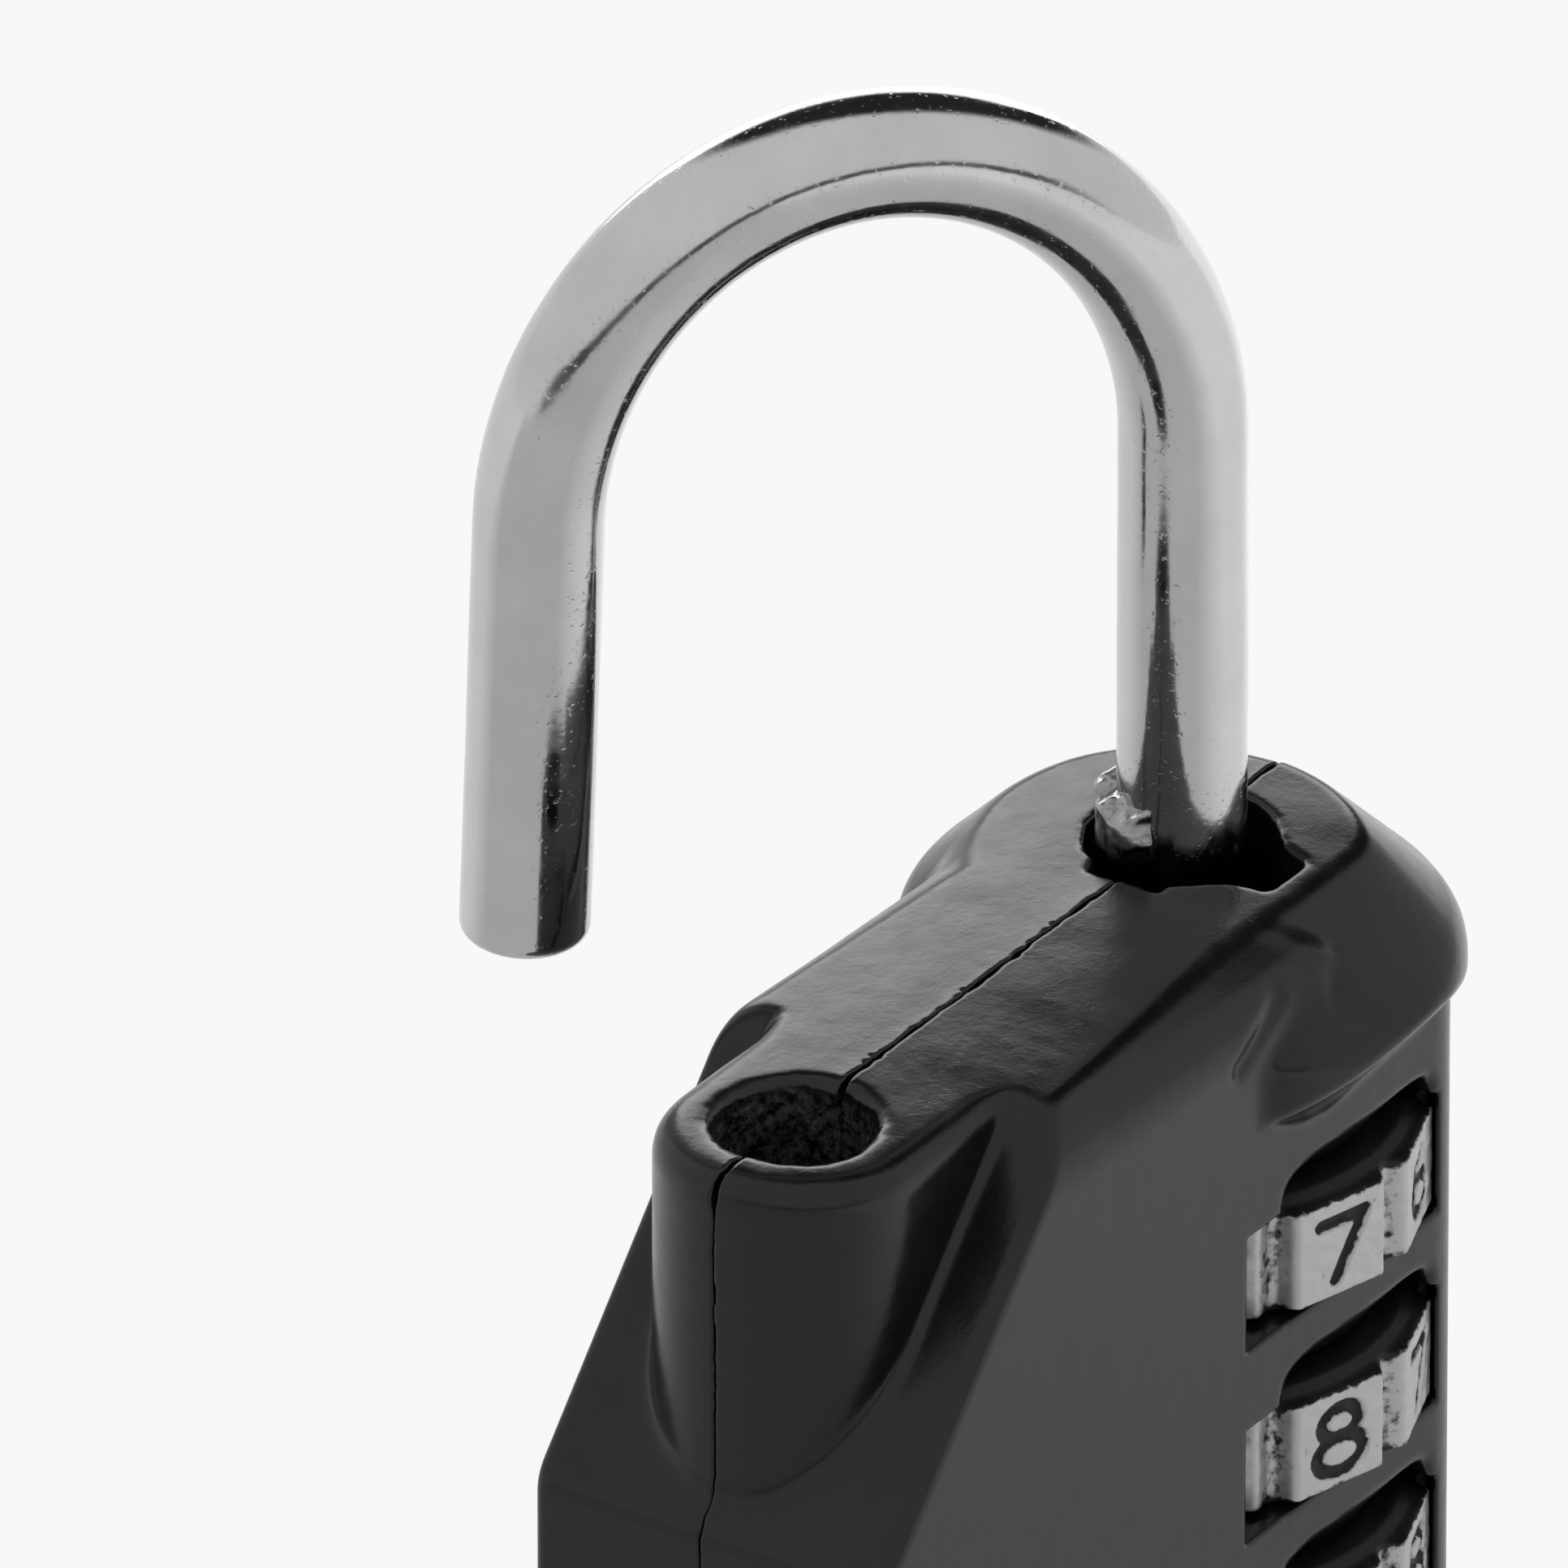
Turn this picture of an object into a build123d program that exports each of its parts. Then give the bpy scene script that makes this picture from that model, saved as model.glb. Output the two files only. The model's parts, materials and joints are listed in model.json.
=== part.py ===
"""Combination padlock: two cast housing halves, four number dials on the heel leg, swinging shackle.

Frame: origin at the centre of the flat bottom face, +Z up, number dials showing on the -Y side.
The shackle's short (toe) leg belongs to -X and its long (heel) leg to +X.  All sizes in mm.
The parts are drawn open: shackle raised and swung to the rear.
"""
from build123d import *
import os
from math import atan, cos, degrees, radians, tan

os.makedirs("parts", exist_ok=True)

# ---------------------------------------------------------------- shackle
ROD_DIAMETER = 6.0
LEG_SPACING = 31.3            # between the heel hole and the toe socket
BOW_SPAN = 30.8               # between the legs' axes where the bow starts
SPLAY = 2.0                   # degrees that the toe leg leans away from the heel leg
LIFT = 10.2                   # travel between locked and open
SWING_AT_REST = 37.4          # degrees from the toe socket towards the rear
TOE_END_ABOVE_TOP = 0.4       # open shackle: gap under the toe leg
STRAIGHT_LEG_TOP = 21.2       # open shackle: where the bow starts, above the body
BOW_RISE = 16.9
TOE_END_FILLET = 0.8
EAR_REACH = 4.15              # radius of every ear, from the heel axis
LOCK_EAR_WIDTH = 2.0
LOCK_EAR_HEIGHT = 2.0
KEY_EAR_WIDTH = 4.6
KEY_EAR_HEIGHT = 3.3
KEY_EAR_BASE = -0.3           # open shackle: underside of the staked ear, from the body's top

# ---------------------------------------------------------------- body
BODY_HEIGHT = 60.0
FACE_Y = 10.1                 # from the seam to the front face
REAR_Y = 9.2                  # from the seam to the rear face
SIDE_X = -23.3                # narrow end on the toe side
SHOULDER_DROP = 18.0          # where the sloping shoulder meets the narrow end
SHOULDER_TOP_X = -7.2
TOE_BOSS_RADIUS = 6.3
BARREL_RADIUS = 12.4          # round heel side, concentric with the dials
TOP_EDGE_FILLET = 2.1
TOE_TOP_FILLET = 1.3
EDGE_FILLET = 0.9

BOSS_STRIP_DROP = 12.0        # depth of the strip that joins the toe boss to the block
BOSS_STRIP_END = 6.0          # how far that strip runs past the shoulder's top

# brow over the dials, as a section turned about the heel axis: radius, drop below the top
BROW_TOP_RADIUS = 8.0
BROW_SLOPE = (12.5, 4.5)
BROW_LIP = (13.1, 6.2)
BROW_FOOT = (12.35, 8.8)
BROW_TOP_FILLET = 0.5

# ---------------------------------------------------------------- dials
DIAL_COUNT = 4
DIAL_PITCH = 10.2
FIRST_DIAL_DROP = 16.9        # first dial's middle below the top
DIGITS = 10
PLATE_APOTHEM = 11.25         # heel axis to the flat of a number plate
PLATE_WIDTH = 5.0
PLATE_HEIGHT = 4.9
DIAL_CORE_RADIUS = 10.3
DIAL_HEIGHT = 6.2
DIAL_REST_ANGLE = 255.0       # direction of one number plate at rest, degrees from +X
CELL_HEIGHT = 6.5
CELL_RADIUS = 11.65
SPLINE_ROOT = 5.6
SPLINE_TIP = 6.3
SPLINE_WIDTH = 1.0
SPLINE_HEIGHT = 5.4
RUNNING_GAP = 0.1

# ---------------------------------------------------------------- code sleeves
SLEEVE_LENGTH = 10.1
SLEEVE_BORE = 3.2             # radius
SLEEVE_SLOT_REACH = 4.45
SLEEVE_SLOT_WIDTH = 3.2
SLEEVE_POCKET_DEPTH = 2.2     # the pocket at the top of each sleeve holds an ear
END_GAP = 0.05                # play between parts stacked on the heel axis

# ---------------------------------------------------------------- windows and holes
WINDOW_LEFT = -9.5            # from the heel axis
WINDOW_RIGHT = 5.7
WINDOW_BACK = 2.0             # windows are cut to this far in front of the heel axis
SCOOP_RADIUS = 1.7
SCOOP_CENTRE_RADIUS = 10.6
TOE_SOCKET_RADIUS = 3.68
TOE_SOCKET_SPARE = 1.8        # socket below the locked toe leg's end
HEEL_HOLE_RADIUS = 4.45
HEEL_HOLE_DEPTH = 10.6
KEYWAY_REACH = 6.0
KEYWAY_WIDTH = 3.8
RESET_KEYWAY_REACH = 5.9
RESET_KEYWAY_WIDTH = 3.2
LEDGE_THICKNESS = 1.2         # web under the heel hole that stops the top ear
LEDGE_BORE = 3.3
CHAMBER_RADIUS = 5.75         # round the code sleeves
FLOOR_THICKNESS = 1.8
WALL = 2.4

# ---------------------------------------------------------------- pocket in the toe side
POCKET_FLOOR = 2.4
POCKET_TOP_DROP = 16.0
POCKET_CORNER_X = -13.5       # where the pocket starts to follow the shoulder
POCKET_SIDE_DROP = 24.0
DIAL_SIDE_WALL = 2.0          # between the pocket and the detent seats

# ---------------------------------------------------------------- springs and small parts
SPRING_CAP_RADIUS = 2.8
SPRING_CAP_HEIGHT = 0.8
HEEL_END_CLEARANCE = 0.35     # heel leg's end below the last ear
SHACKLE_SPRING_RADIUS = 2.45
SHACKLE_SPRING_WIRE = 0.45
SHACKLE_SPRING_TURNS = 5
SPRING_GUIDE_RADIUS = 1.9
SPRING_GUIDE_HEIGHT = 1.8
STACK_WASHER_THICKNESS = 0.6
STACK_WASHER_BORE = 4.7
RESET_SPRING_RADIUS = 5.25
RESET_SPRING_WIRE = 0.7
RESET_SPRING_TURNS = 3
LEAF_BEFORE_PLATE = 90.0      # degrees; detents press between two number plates, on the toe side
LEAF_THICKNESS = 0.3
LEAF_WIDTH = 3.6
LEAF_LENGTH = 8.0
LEAF_SEAT = 13.6              # heel axis to the seat behind each leaf
LEAF_NOSE_REACH = 11.62
LEAF_NOSE_BASE = 4.2
LEAF_NOSE_WIDTH = 2.4
LEAF_FOLD = 0.42              # thickness measured along the nose's axis
LEAF_SIDE_PLAY = 0.2
LEAF_END_PLAY = 0.1
LEAF_SEAT_OVERLAP = 0.4       # how far each seat reaches into its dial cell
PIN_RADIUS = 1.25
PIN_LENGTH = 13.0
PIN_BOSS_RADIUS = 2.6
GUIDE_ROOT = 0.5              # spring guide's root in the floor
PAST = 1.0                    # how far cutting shapes run past the faces they open
FAR = 60.0                    # half size of the blocks that trim whole sides away
EPSILON = 0.01

# ---------------------------------------------------------------- worked out
ROD_RADIUS = ROD_DIAMETER / 2
HEEL_X = LEG_SPACING / 2
TOE_X = -LEG_SPACING / 2
HEEL = Pos(HEEL_X, 0, 0)
LOW_END = -PAST
SLEEVE_SLOT_ANGLE = 180 - SWING_AT_REST
LEAF_ANGLE = DIAL_REST_ANGLE - LEAF_BEFORE_PLATE
TOE_SOCKET_DEPTH = LIFT - TOE_END_ABOVE_TOP + TOE_SOCKET_SPARE
SLEEVE_TOP = BODY_HEIGHT - HEEL_HOLE_DEPTH - LEDGE_THICKNESS - END_GAP
SLEEVES_BOTTOM = SLEEVE_TOP - (DIAL_COUNT - 1) * DIAL_PITCH - SLEEVE_LENGTH
HEEL_END = SLEEVE_TOP - (DIAL_COUNT - 1) * DIAL_PITCH - LOCK_EAR_HEIGHT - HEEL_END_CLEARANCE
CAP_TOP = HEEL_END - END_GAP
CAP_BASE = CAP_TOP - SPRING_CAP_HEIGHT
WASHER_TOP = SLEEVES_BOTTOM - END_GAP
WASHER_BASE = WASHER_TOP - STACK_WASHER_THICKNESS
PIN_PLACES = [(-19.0, 6.0), (-19.0, 36.0), (-0.5, 6.0), (-0.5, 49.0)]   # x, z


def dial_middle(number):
    """Height of a dial's middle; dial 1 is the top one."""
    return BODY_HEIGHT - FIRST_DIAL_DROP - (number - 1) * DIAL_PITCH


def disc(radius, bottom, top):
    """Upright cylinder on the Z axis between two heights."""
    return Pos(0, 0, bottom) * Cylinder(radius, top - bottom, align=(Align.CENTER, Align.CENTER, Align.MIN))


def ring(outer, inner, bottom, top):
    return disc(outer, bottom, top) - disc(inner, bottom - PAST, top + PAST)


def block(x_range, y_range, z_range):
    """Box between pairs of coordinates."""
    size = [high - low for low, high in (x_range, y_range, z_range)]
    corner = [low for low, high in (x_range, y_range, z_range)]
    return Pos(*corner) * Box(*size, align=(Align.MIN, Align.MIN, Align.MIN))


def side_prism(points, y_low, y_high):
    """Prism with an outline in the XZ plane, running along Y."""
    outline = make_face(Polyline(*[(x, 0, z) for x, z in points], close=True))
    return Pos(0, y_low, 0) * extrude(outline, amount=y_high - y_low, dir=(0, 1, 0))


def edges_where(part, test):
    return [edge for edge in part.edges() if test(edge.center())]


# ---------------------------------------------------------------- housing
def main_block():
    """Flat-faced block with the sloping shoulder."""
    top = BODY_HEIGHT
    points = [
        (SIDE_X, 0),
        (HEEL_X, 0),
        (HEEL_X, top),
        (SHOULDER_TOP_X, top),
        (SIDE_X, top - SHOULDER_DROP),
    ]
    body = side_prism(points, -FACE_Y, REAR_Y)

    def on_a_face(c):
        return c.Y < -FACE_Y + EPSILON or c.Y > REAR_Y - EPSILON

    long_edges = edges_where(body, lambda c: abs(c.Z - top) < EPSILON and on_a_face(c))
    body = fillet(long_edges, TOP_EDGE_FILLET)
    rest = edges_where(body, lambda c: on_a_face(c) and c.X < HEEL_X - PAST and c.Z < top - WALL)
    return fillet(rest, EDGE_FILLET)


def barrel():
    """Round heel side round the dials; the front of it is cut off flat with the face."""
    height = BODY_HEIGHT - BROW_FOOT[1] + PAST
    shape = HEEL * disc(BARREL_RADIUS, 0, height)
    shape -= block((-FAR, FAR), (-FAR, -FACE_Y), (LOW_END, height + PAST))
    foot = edges_where(shape, lambda c: c.Z < EPSILON)
    return fillet(foot, EDGE_FILLET)


def brow():
    """Sloping cap over the dials, overhanging the faces in front and behind."""
    top = BODY_HEIGHT
    slope_end = (BROW_SLOPE[0], 0, top - BROW_SLOPE[1])
    lip = (BROW_LIP[0], 0, top - BROW_LIP[1])
    foot = (BROW_FOOT[0], 0, top - BROW_FOOT[1])
    top_edge = (BROW_TOP_RADIUS, 0, top)
    slope = Line(top_edge, slope_end)
    turn = Spline(slope_end, lip, tangents=[(1, 0, -1), (0, 0, -1)])
    under = Spline(lip, foot, tangents=[(0, 0, -1), (-0.6, 0, -1)])
    rest = Polyline(foot, (0, 0, foot[2]), (0, 0, top), top_edge)
    shape = revolve(make_face([slope, turn, under, rest]), Axis.Z)
    rim = edges_where(shape, lambda c: c.Z > top - EPSILON)
    return HEEL * fillet(rim, BROW_TOP_FILLET)


def toe_boss():
    """Half-round end round the toe socket, with the strip that joins it to the block."""
    top = BODY_HEIGHT
    strip_end = SHOULDER_TOP_X + BOSS_STRIP_END
    boss = Pos(TOE_X, 0, 0) * disc(TOE_BOSS_RADIUS, top - SHOULDER_DROP, top)
    across = (-TOE_BOSS_RADIUS, TOE_BOSS_RADIUS)
    shape = boss + block((TOE_X, strip_end), across, (top - BOSS_STRIP_DROP, top))
    rim = edges_where(shape, lambda c: abs(c.Z - top) < EPSILON and c.X < strip_end - EPSILON)
    return fillet(rim, TOE_TOP_FILLET)


def window_cut(number):
    """Opening in the front for one dial, with the thumb scoop along its upper edge."""
    middle = dial_middle(number)
    low = middle - CELL_HEIGHT / 2
    high = middle + CELL_HEIGHT / 2
    x_range = (WINDOW_LEFT, WINDOW_RIGHT)
    y_range = (-BROW_LIP[0], -WINDOW_BACK)
    opening = block(x_range, y_range, (low, high))
    zone = block(x_range, y_range, (low, high + SCOOP_RADIUS + PAST))
    scoop = Pos(0, 0, high) * Torus(SCOOP_CENTRE_RADIUS, SCOOP_RADIUS)
    return HEEL * (opening + (scoop & zone))


def heel_cuts():
    """Everything bored on the heel axis: hole with keyways, ledge, sleeve chamber, dial cells."""
    top = BODY_HEIGHT
    hole_foot = top - HEEL_HOLE_DEPTH
    z_range = (hole_foot, top + PAST)
    cut = disc(HEEL_HOLE_RADIUS, *z_range)
    cut += block((-KEYWAY_REACH, 0), (-KEYWAY_WIDTH / 2, KEYWAY_WIDTH / 2), z_range)
    reset_x = (-RESET_KEYWAY_WIDTH / 2, RESET_KEYWAY_WIDTH / 2)
    cut += block(reset_x, (-RESET_KEYWAY_REACH, 0), z_range)
    cut += disc(LEDGE_BORE, hole_foot - LEDGE_THICKNESS - PAST, top)
    cut += disc(CHAMBER_RADIUS, FLOOR_THICKNESS, hole_foot - LEDGE_THICKNESS)
    for number in range(1, DIAL_COUNT + 1):
        middle = dial_middle(number)
        cut += disc(CELL_RADIUS, middle - CELL_HEIGHT / 2, middle + CELL_HEIGHT / 2)
    return HEEL * cut


def leaf_seat(number):
    """Recess behind a detent leaf, opening into its dial cell."""
    middle = dial_middle(number)
    half_width = LEAF_WIDTH / 2 + LEAF_SIDE_PLAY
    half_height = LEAF_LENGTH / 2
    recess = block(
        (CELL_RADIUS - LEAF_WIDTH, LEAF_SEAT),
        (-half_width, half_width),
        (middle - half_height, middle + half_height),
    )
    core_radius = CELL_RADIUS - LEAF_SEAT_OVERLAP
    core = disc(core_radius, middle - half_height - PAST, middle + half_height + PAST)
    return HEEL * (Rot(0, 0, LEAF_ANGLE) * (recess - core))


def hollow():
    """Pocket inside the toe side, following the shoulder, with bosses left for the pins."""
    top = BODY_HEIGHT
    left = SIDE_X + WALL
    right = HEEL_X - LEAF_SEAT - DIAL_SIDE_WALL
    points = [
        (left, POCKET_FLOOR),
        (right, POCKET_FLOOR),
        (right, top - POCKET_TOP_DROP),
        (POCKET_CORNER_X, top - POCKET_TOP_DROP),
        (left, top - POCKET_SIDE_DROP),
    ]
    pocket = side_prism(points, -FACE_Y + WALL, REAR_Y - WALL)
    for x, z in PIN_PLACES:
        pocket -= Pos(x, 0, z) * Rot(90, 0, 0) * Cylinder(PIN_BOSS_RADIUS, 2 * FACE_Y)
    return pocket


def assembly_pins():
    """Steel pins, pressed blind into both halves."""
    return [Pos(x, 0, z) * Rot(90, 0, 0) * Cylinder(PIN_RADIUS, PIN_LENGTH) for x, z in PIN_PLACES]


def housings():
    body = main_block() + toe_boss() + barrel() + brow()
    socket_z = (BODY_HEIGHT - TOE_SOCKET_DEPTH, BODY_HEIGHT + PAST)
    body -= Pos(TOE_X, 0, 0) * disc(TOE_SOCKET_RADIUS, *socket_z)
    body -= heel_cuts()
    body -= hollow()
    for number in range(1, DIAL_COUNT + 1):
        body -= window_cut(number)
        body -= leaf_seat(number)
    for pin in assembly_pins():
        body -= pin
    guide_z = (FLOOR_THICKNESS - GUIDE_ROOT, FLOOR_THICKNESS + SPRING_GUIDE_HEIGHT)
    body += HEEL * disc(SPRING_GUIDE_RADIUS, *guide_z)
    z_range = (LOW_END, BODY_HEIGHT + PAST)
    front = body & block((-FAR, FAR), (-FAR, 0), z_range)
    rear = body & block((-FAR, FAR), (0, FAR), z_range)
    return front, rear


# ---------------------------------------------------------------- shackle
def ear(base, height, width):
    """Ear on the heel leg, pointing towards the toe leg before the swing is applied."""
    top = base + height
    return disc(EAR_REACH, base, top) & block((-EAR_REACH - PAST, 0), (-width / 2, width / 2), (base, top))


def shackle():
    """Bent rod, drawn with its toe leg towards -X and then swung to its rest angle."""
    top = BODY_HEIGHT
    leg_top = top + STRAIGHT_LEG_TOP
    half = BOW_SPAN / 2
    heel_leg = disc(ROD_RADIUS, HEEL_END, leg_top)
    missing_arc = degrees(atan(tan(radians(SPLAY)) * BOW_RISE / half))
    bow_plane = Plane(origin=(-half, 0, leg_top), x_dir=(1, 0, 0), z_dir=(0, -1, 0))
    bow_line = bow_plane * EllipticalCenterArc((0, 0), half, BOW_RISE, arc_size=180 - missing_arc)
    bow = sweep(Plane(origin=(0, 0, leg_top)) * Circle(ROD_RADIUS), path=bow_line)
    toe_top = bow_line @ 1
    toe_length = (toe_top.Z - top - TOE_END_ABOVE_TOP) / cos(radians(SPLAY))
    toe_leg = disc(ROD_RADIUS, -toe_length, 0)
    end_edge = edges_where(toe_leg, lambda c: c.Z < EPSILON - toe_length)
    toe_leg = Pos(toe_top.X, 0, toe_top.Z) * Rot(0, SPLAY, 0) * fillet(end_edge, TOE_END_FILLET)
    shape = heel_leg + toe_leg + bow
    for number in range(DIAL_COUNT):
        base = SLEEVE_TOP - LOCK_EAR_HEIGHT - number * DIAL_PITCH
        shape += ear(base, LOCK_EAR_HEIGHT, LOCK_EAR_WIDTH)
    shape += ear(top + KEY_EAR_BASE, KEY_EAR_HEIGHT, KEY_EAR_WIDTH)
    return HEEL * Rot(0, 0, -SWING_AT_REST) * shape


# ---------------------------------------------------------------- dials and sleeves
def around(count, first_angle, shape):
    """Copies of a shape turned about the Z axis."""
    return [Rot(0, 0, first_angle + index * 360 / count) * shape for index in range(count)]


def dial_wheel(number):
    """Black wheel with ten raised number plates and a splined bore."""
    half = DIAL_HEIGHT / 2
    plate_half = PLATE_HEIGHT / 2
    wheel = disc(DIAL_CORE_RADIUS, -half, half)
    plate = block((0, PLATE_APOTHEM), (-PLATE_WIDTH / 2, PLATE_WIDTH / 2), (-plate_half, plate_half))
    for copy in around(DIGITS, DIAL_REST_ANGLE, plate):
        wheel += copy
    bore_z = (-half - PAST, half + PAST)
    bore = disc(SPLINE_ROOT + RUNNING_GAP / 2, *bore_z)
    notch_width = SPLINE_WIDTH / 2 + RUNNING_GAP / 2
    notch = block((0, SPLINE_TIP + RUNNING_GAP / 2), (-notch_width, notch_width), bore_z)
    for copy in around(DIGITS, DIAL_REST_ANGLE, notch):
        bore += copy
    return HEEL * Pos(0, 0, dial_middle(number)) * (wheel - bore)


def code_sleeve(number):
    """Sleeve splined into its dial; the slot lets the ear through at one digit."""
    top = SLEEVE_TOP - (number - 1) * DIAL_PITCH
    base = top - SLEEVE_LENGTH
    middle = dial_middle(number)
    sleeve = disc(SPLINE_ROOT, base, top)
    spline_z = (middle - SPLINE_HEIGHT / 2, middle + SPLINE_HEIGHT / 2)
    spline = block((0, SPLINE_TIP), (-SPLINE_WIDTH / 2, SPLINE_WIDTH / 2), spline_z)
    for copy in around(DIGITS, DIAL_REST_ANGLE, spline):
        sleeve += copy
    sleeve -= disc(SLEEVE_BORE, base - PAST, top + PAST)
    sleeve -= disc(SLEEVE_SLOT_REACH, top - SLEEVE_POCKET_DEPTH, top + PAST)
    slot_y = (-SLEEVE_SLOT_WIDTH / 2, SLEEVE_SLOT_WIDTH / 2)
    slot = block((0, SLEEVE_SLOT_REACH), slot_y, (base - PAST, top))
    sleeve -= Rot(0, 0, SLEEVE_SLOT_ANGLE) * slot
    return HEEL * sleeve


# ---------------------------------------------------------------- springs and small parts
def coil(radius, wire, turns, bottom, top):
    """Compression spring between two heights, its ends cut flat."""
    height = top - bottom
    line = Helix(pitch=(height - wire) / turns, height=height - wire, radius=radius)
    section = Plane(origin=line @ 0, z_dir=line % 0) * Circle(wire / 2)
    return Pos(0, 0, bottom + wire / 2) * sweep(section, path=line, is_frenet=True)


def spring_cap():
    """Steel disc that carries the heel leg's end on the spring; it lifts without turning."""
    return HEEL * disc(SPRING_CAP_RADIUS, CAP_BASE, CAP_TOP)


def stack_washer():
    return HEEL * ring(SPLINE_ROOT, STACK_WASHER_BORE, WASHER_BASE, WASHER_TOP)


def detent_leaf(number):
    """Leaf spring with a folded nose that clicks between the number plates."""
    half = LEAF_LENGTH / 2 - LEAF_END_PLAY
    nose_half = LEAF_NOSE_WIDTH / 2
    inner_face = LEAF_SEAT - LEAF_THICKNESS
    strip = block((inner_face, LEAF_SEAT), (-LEAF_WIDTH / 2, LEAF_WIDTH / 2), (-half, half))
    base = LEAF_NOSE_BASE / 2
    nose = side_prism([(LEAF_NOSE_REACH, 0), (LEAF_SEAT, base), (LEAF_SEAT, -base)], -nose_half, nose_half)
    reach = LEAF_NOSE_REACH + LEAF_FOLD
    behind = LEAF_SEAT + PAST
    inside = side_prism([(reach, 0), (behind, base), (behind, -base)], -nose_half - PAST, nose_half + PAST)
    leaf = strip + nose - inside
    return HEEL * Rot(0, 0, LEAF_ANGLE) * Pos(0, 0, dial_middle(number)) * leaf


# ---------------------------------------------------------------- write the parts
def save(shape, name):
    export_step(shape, f"parts/{name}.step")


front_housing, rear_housing = housings()
save(front_housing, "front_housing")
save(rear_housing, "rear_housing")
save(Compound(children=assembly_pins()), "assembly_pins")
save(shackle(), "shackle")
save(spring_cap(), "spring_cap")
shackle_spring = coil(
    SHACKLE_SPRING_RADIUS, SHACKLE_SPRING_WIRE, SHACKLE_SPRING_TURNS, FLOOR_THICKNESS, CAP_BASE
)
save(HEEL * shackle_spring, "shackle_spring")
save(stack_washer(), "stack_washer")
reset_coil_radius = RESET_SPRING_RADIUS - RESET_SPRING_WIRE / 2
reset_spring = coil(
    reset_coil_radius, RESET_SPRING_WIRE, RESET_SPRING_TURNS, FLOOR_THICKNESS, WASHER_BASE
)
save(HEEL * reset_spring, "reset_spring")
for dial_number in range(1, DIAL_COUNT + 1):
    save(dial_wheel(dial_number), f"dial_wheel_{dial_number}")
    save(code_sleeve(dial_number), f"code_sleeve_{dial_number}")
    save(detent_leaf(dial_number), f"detent_leaf_{dial_number}")
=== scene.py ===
"""Looks of the combination padlock: cast and painted housings, polished shackle, engraved number dials.

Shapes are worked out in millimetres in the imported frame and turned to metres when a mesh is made.
"""
import json
from math import atan, cos, pi, radians, sin, tan

import bpy
import numpy as np
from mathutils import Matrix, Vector


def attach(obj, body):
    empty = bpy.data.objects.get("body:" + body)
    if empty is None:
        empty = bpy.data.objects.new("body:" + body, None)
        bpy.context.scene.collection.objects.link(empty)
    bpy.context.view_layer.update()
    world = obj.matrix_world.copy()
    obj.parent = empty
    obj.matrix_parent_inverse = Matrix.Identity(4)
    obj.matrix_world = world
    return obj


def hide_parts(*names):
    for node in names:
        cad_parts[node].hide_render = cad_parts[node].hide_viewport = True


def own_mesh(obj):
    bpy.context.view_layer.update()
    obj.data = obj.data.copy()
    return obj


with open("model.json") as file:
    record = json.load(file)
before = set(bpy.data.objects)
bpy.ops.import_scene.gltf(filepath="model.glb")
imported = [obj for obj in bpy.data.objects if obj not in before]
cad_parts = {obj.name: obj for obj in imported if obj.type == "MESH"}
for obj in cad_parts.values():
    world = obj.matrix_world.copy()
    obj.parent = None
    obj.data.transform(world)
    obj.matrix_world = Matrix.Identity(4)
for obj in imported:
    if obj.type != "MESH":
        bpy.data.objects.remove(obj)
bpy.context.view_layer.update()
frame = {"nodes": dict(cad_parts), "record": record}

MM = 0.001

# ---------------------------------------------------------------- sizes in mm shared by several pieces
HEEL_X = 15.65                  # axis of the long leg and of the dials
TOE_X = -15.65                  # axis of the toe socket
TOP = 60.0                      # body's top
DIAL_COUNT = 4
DIAL_PITCH = 10.2
FIRST_DIAL_DROP = 16.9          # from the top down to the first dial's middle


def dial_middle(number):
    return TOP - FIRST_DIAL_DROP - number * DIAL_PITCH


# ---------------------------------------------------------------- smooth solids
# A solid is a function of x, y, z that is negative inside.  k is the width of a blend in mm.
def join(a, b, k=0.0):
    k = np.maximum(k, 1e-4)
    h = np.clip(0.5 + 0.5 * (b - a) / k, 0, 1)
    return b + (a - b) * h - k * h * (1 - h)


def both(a, b, k=0.0):
    return -join(-a, -b, k)


def cut(a, b, k=0.0):
    return -join(-a, b, k)


def every(parts, k=0.0):
    result = parts[0]
    for part in parts[1:]:
        result = both(result, part, k)
    return result


def slab(value, low, high):
    return np.abs(value - (low + high) / 2) - (high - low) / 2


def below_line(u, v, start, end):
    """Half-plane under the line from start to end in (u, v); travelling right, solid is below."""
    du, dv = end[0] - start[0], end[1] - start[1]
    length = (du * du + dv * dv) ** 0.5
    return ((v - start[1]) * du - (u - start[0]) * dv) / length


class Noise:
    """Smooth value noise between -1 and 1 with a fixed seed."""

    def __init__(self, seed, size=24):
        self.size = size
        self.values = np.random.RandomState(seed).uniform(-1, 1, (size, size, size)).astype(np.float32)

    def __call__(self, x, y, z, scale):
        total = 0
        cell, part = [], []
        for axis in (x, y, z):
            place = axis / scale
            whole = np.floor(place)
            fraction = (place - whole).astype(np.float32)
            cell.append(whole.astype(np.int32))
            part.append(fraction * fraction * (3 - 2 * fraction))
        for corner in range(8):
            index, weight = [], 1
            for axis in range(3):
                bit = (corner >> axis) & 1
                index.append((cell[axis] + bit) % self.size)
                weight = weight * (part[axis] if bit else 1 - part[axis])
            total = total + weight * self.values[index[0], index[1], index[2]]
        return total


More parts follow.
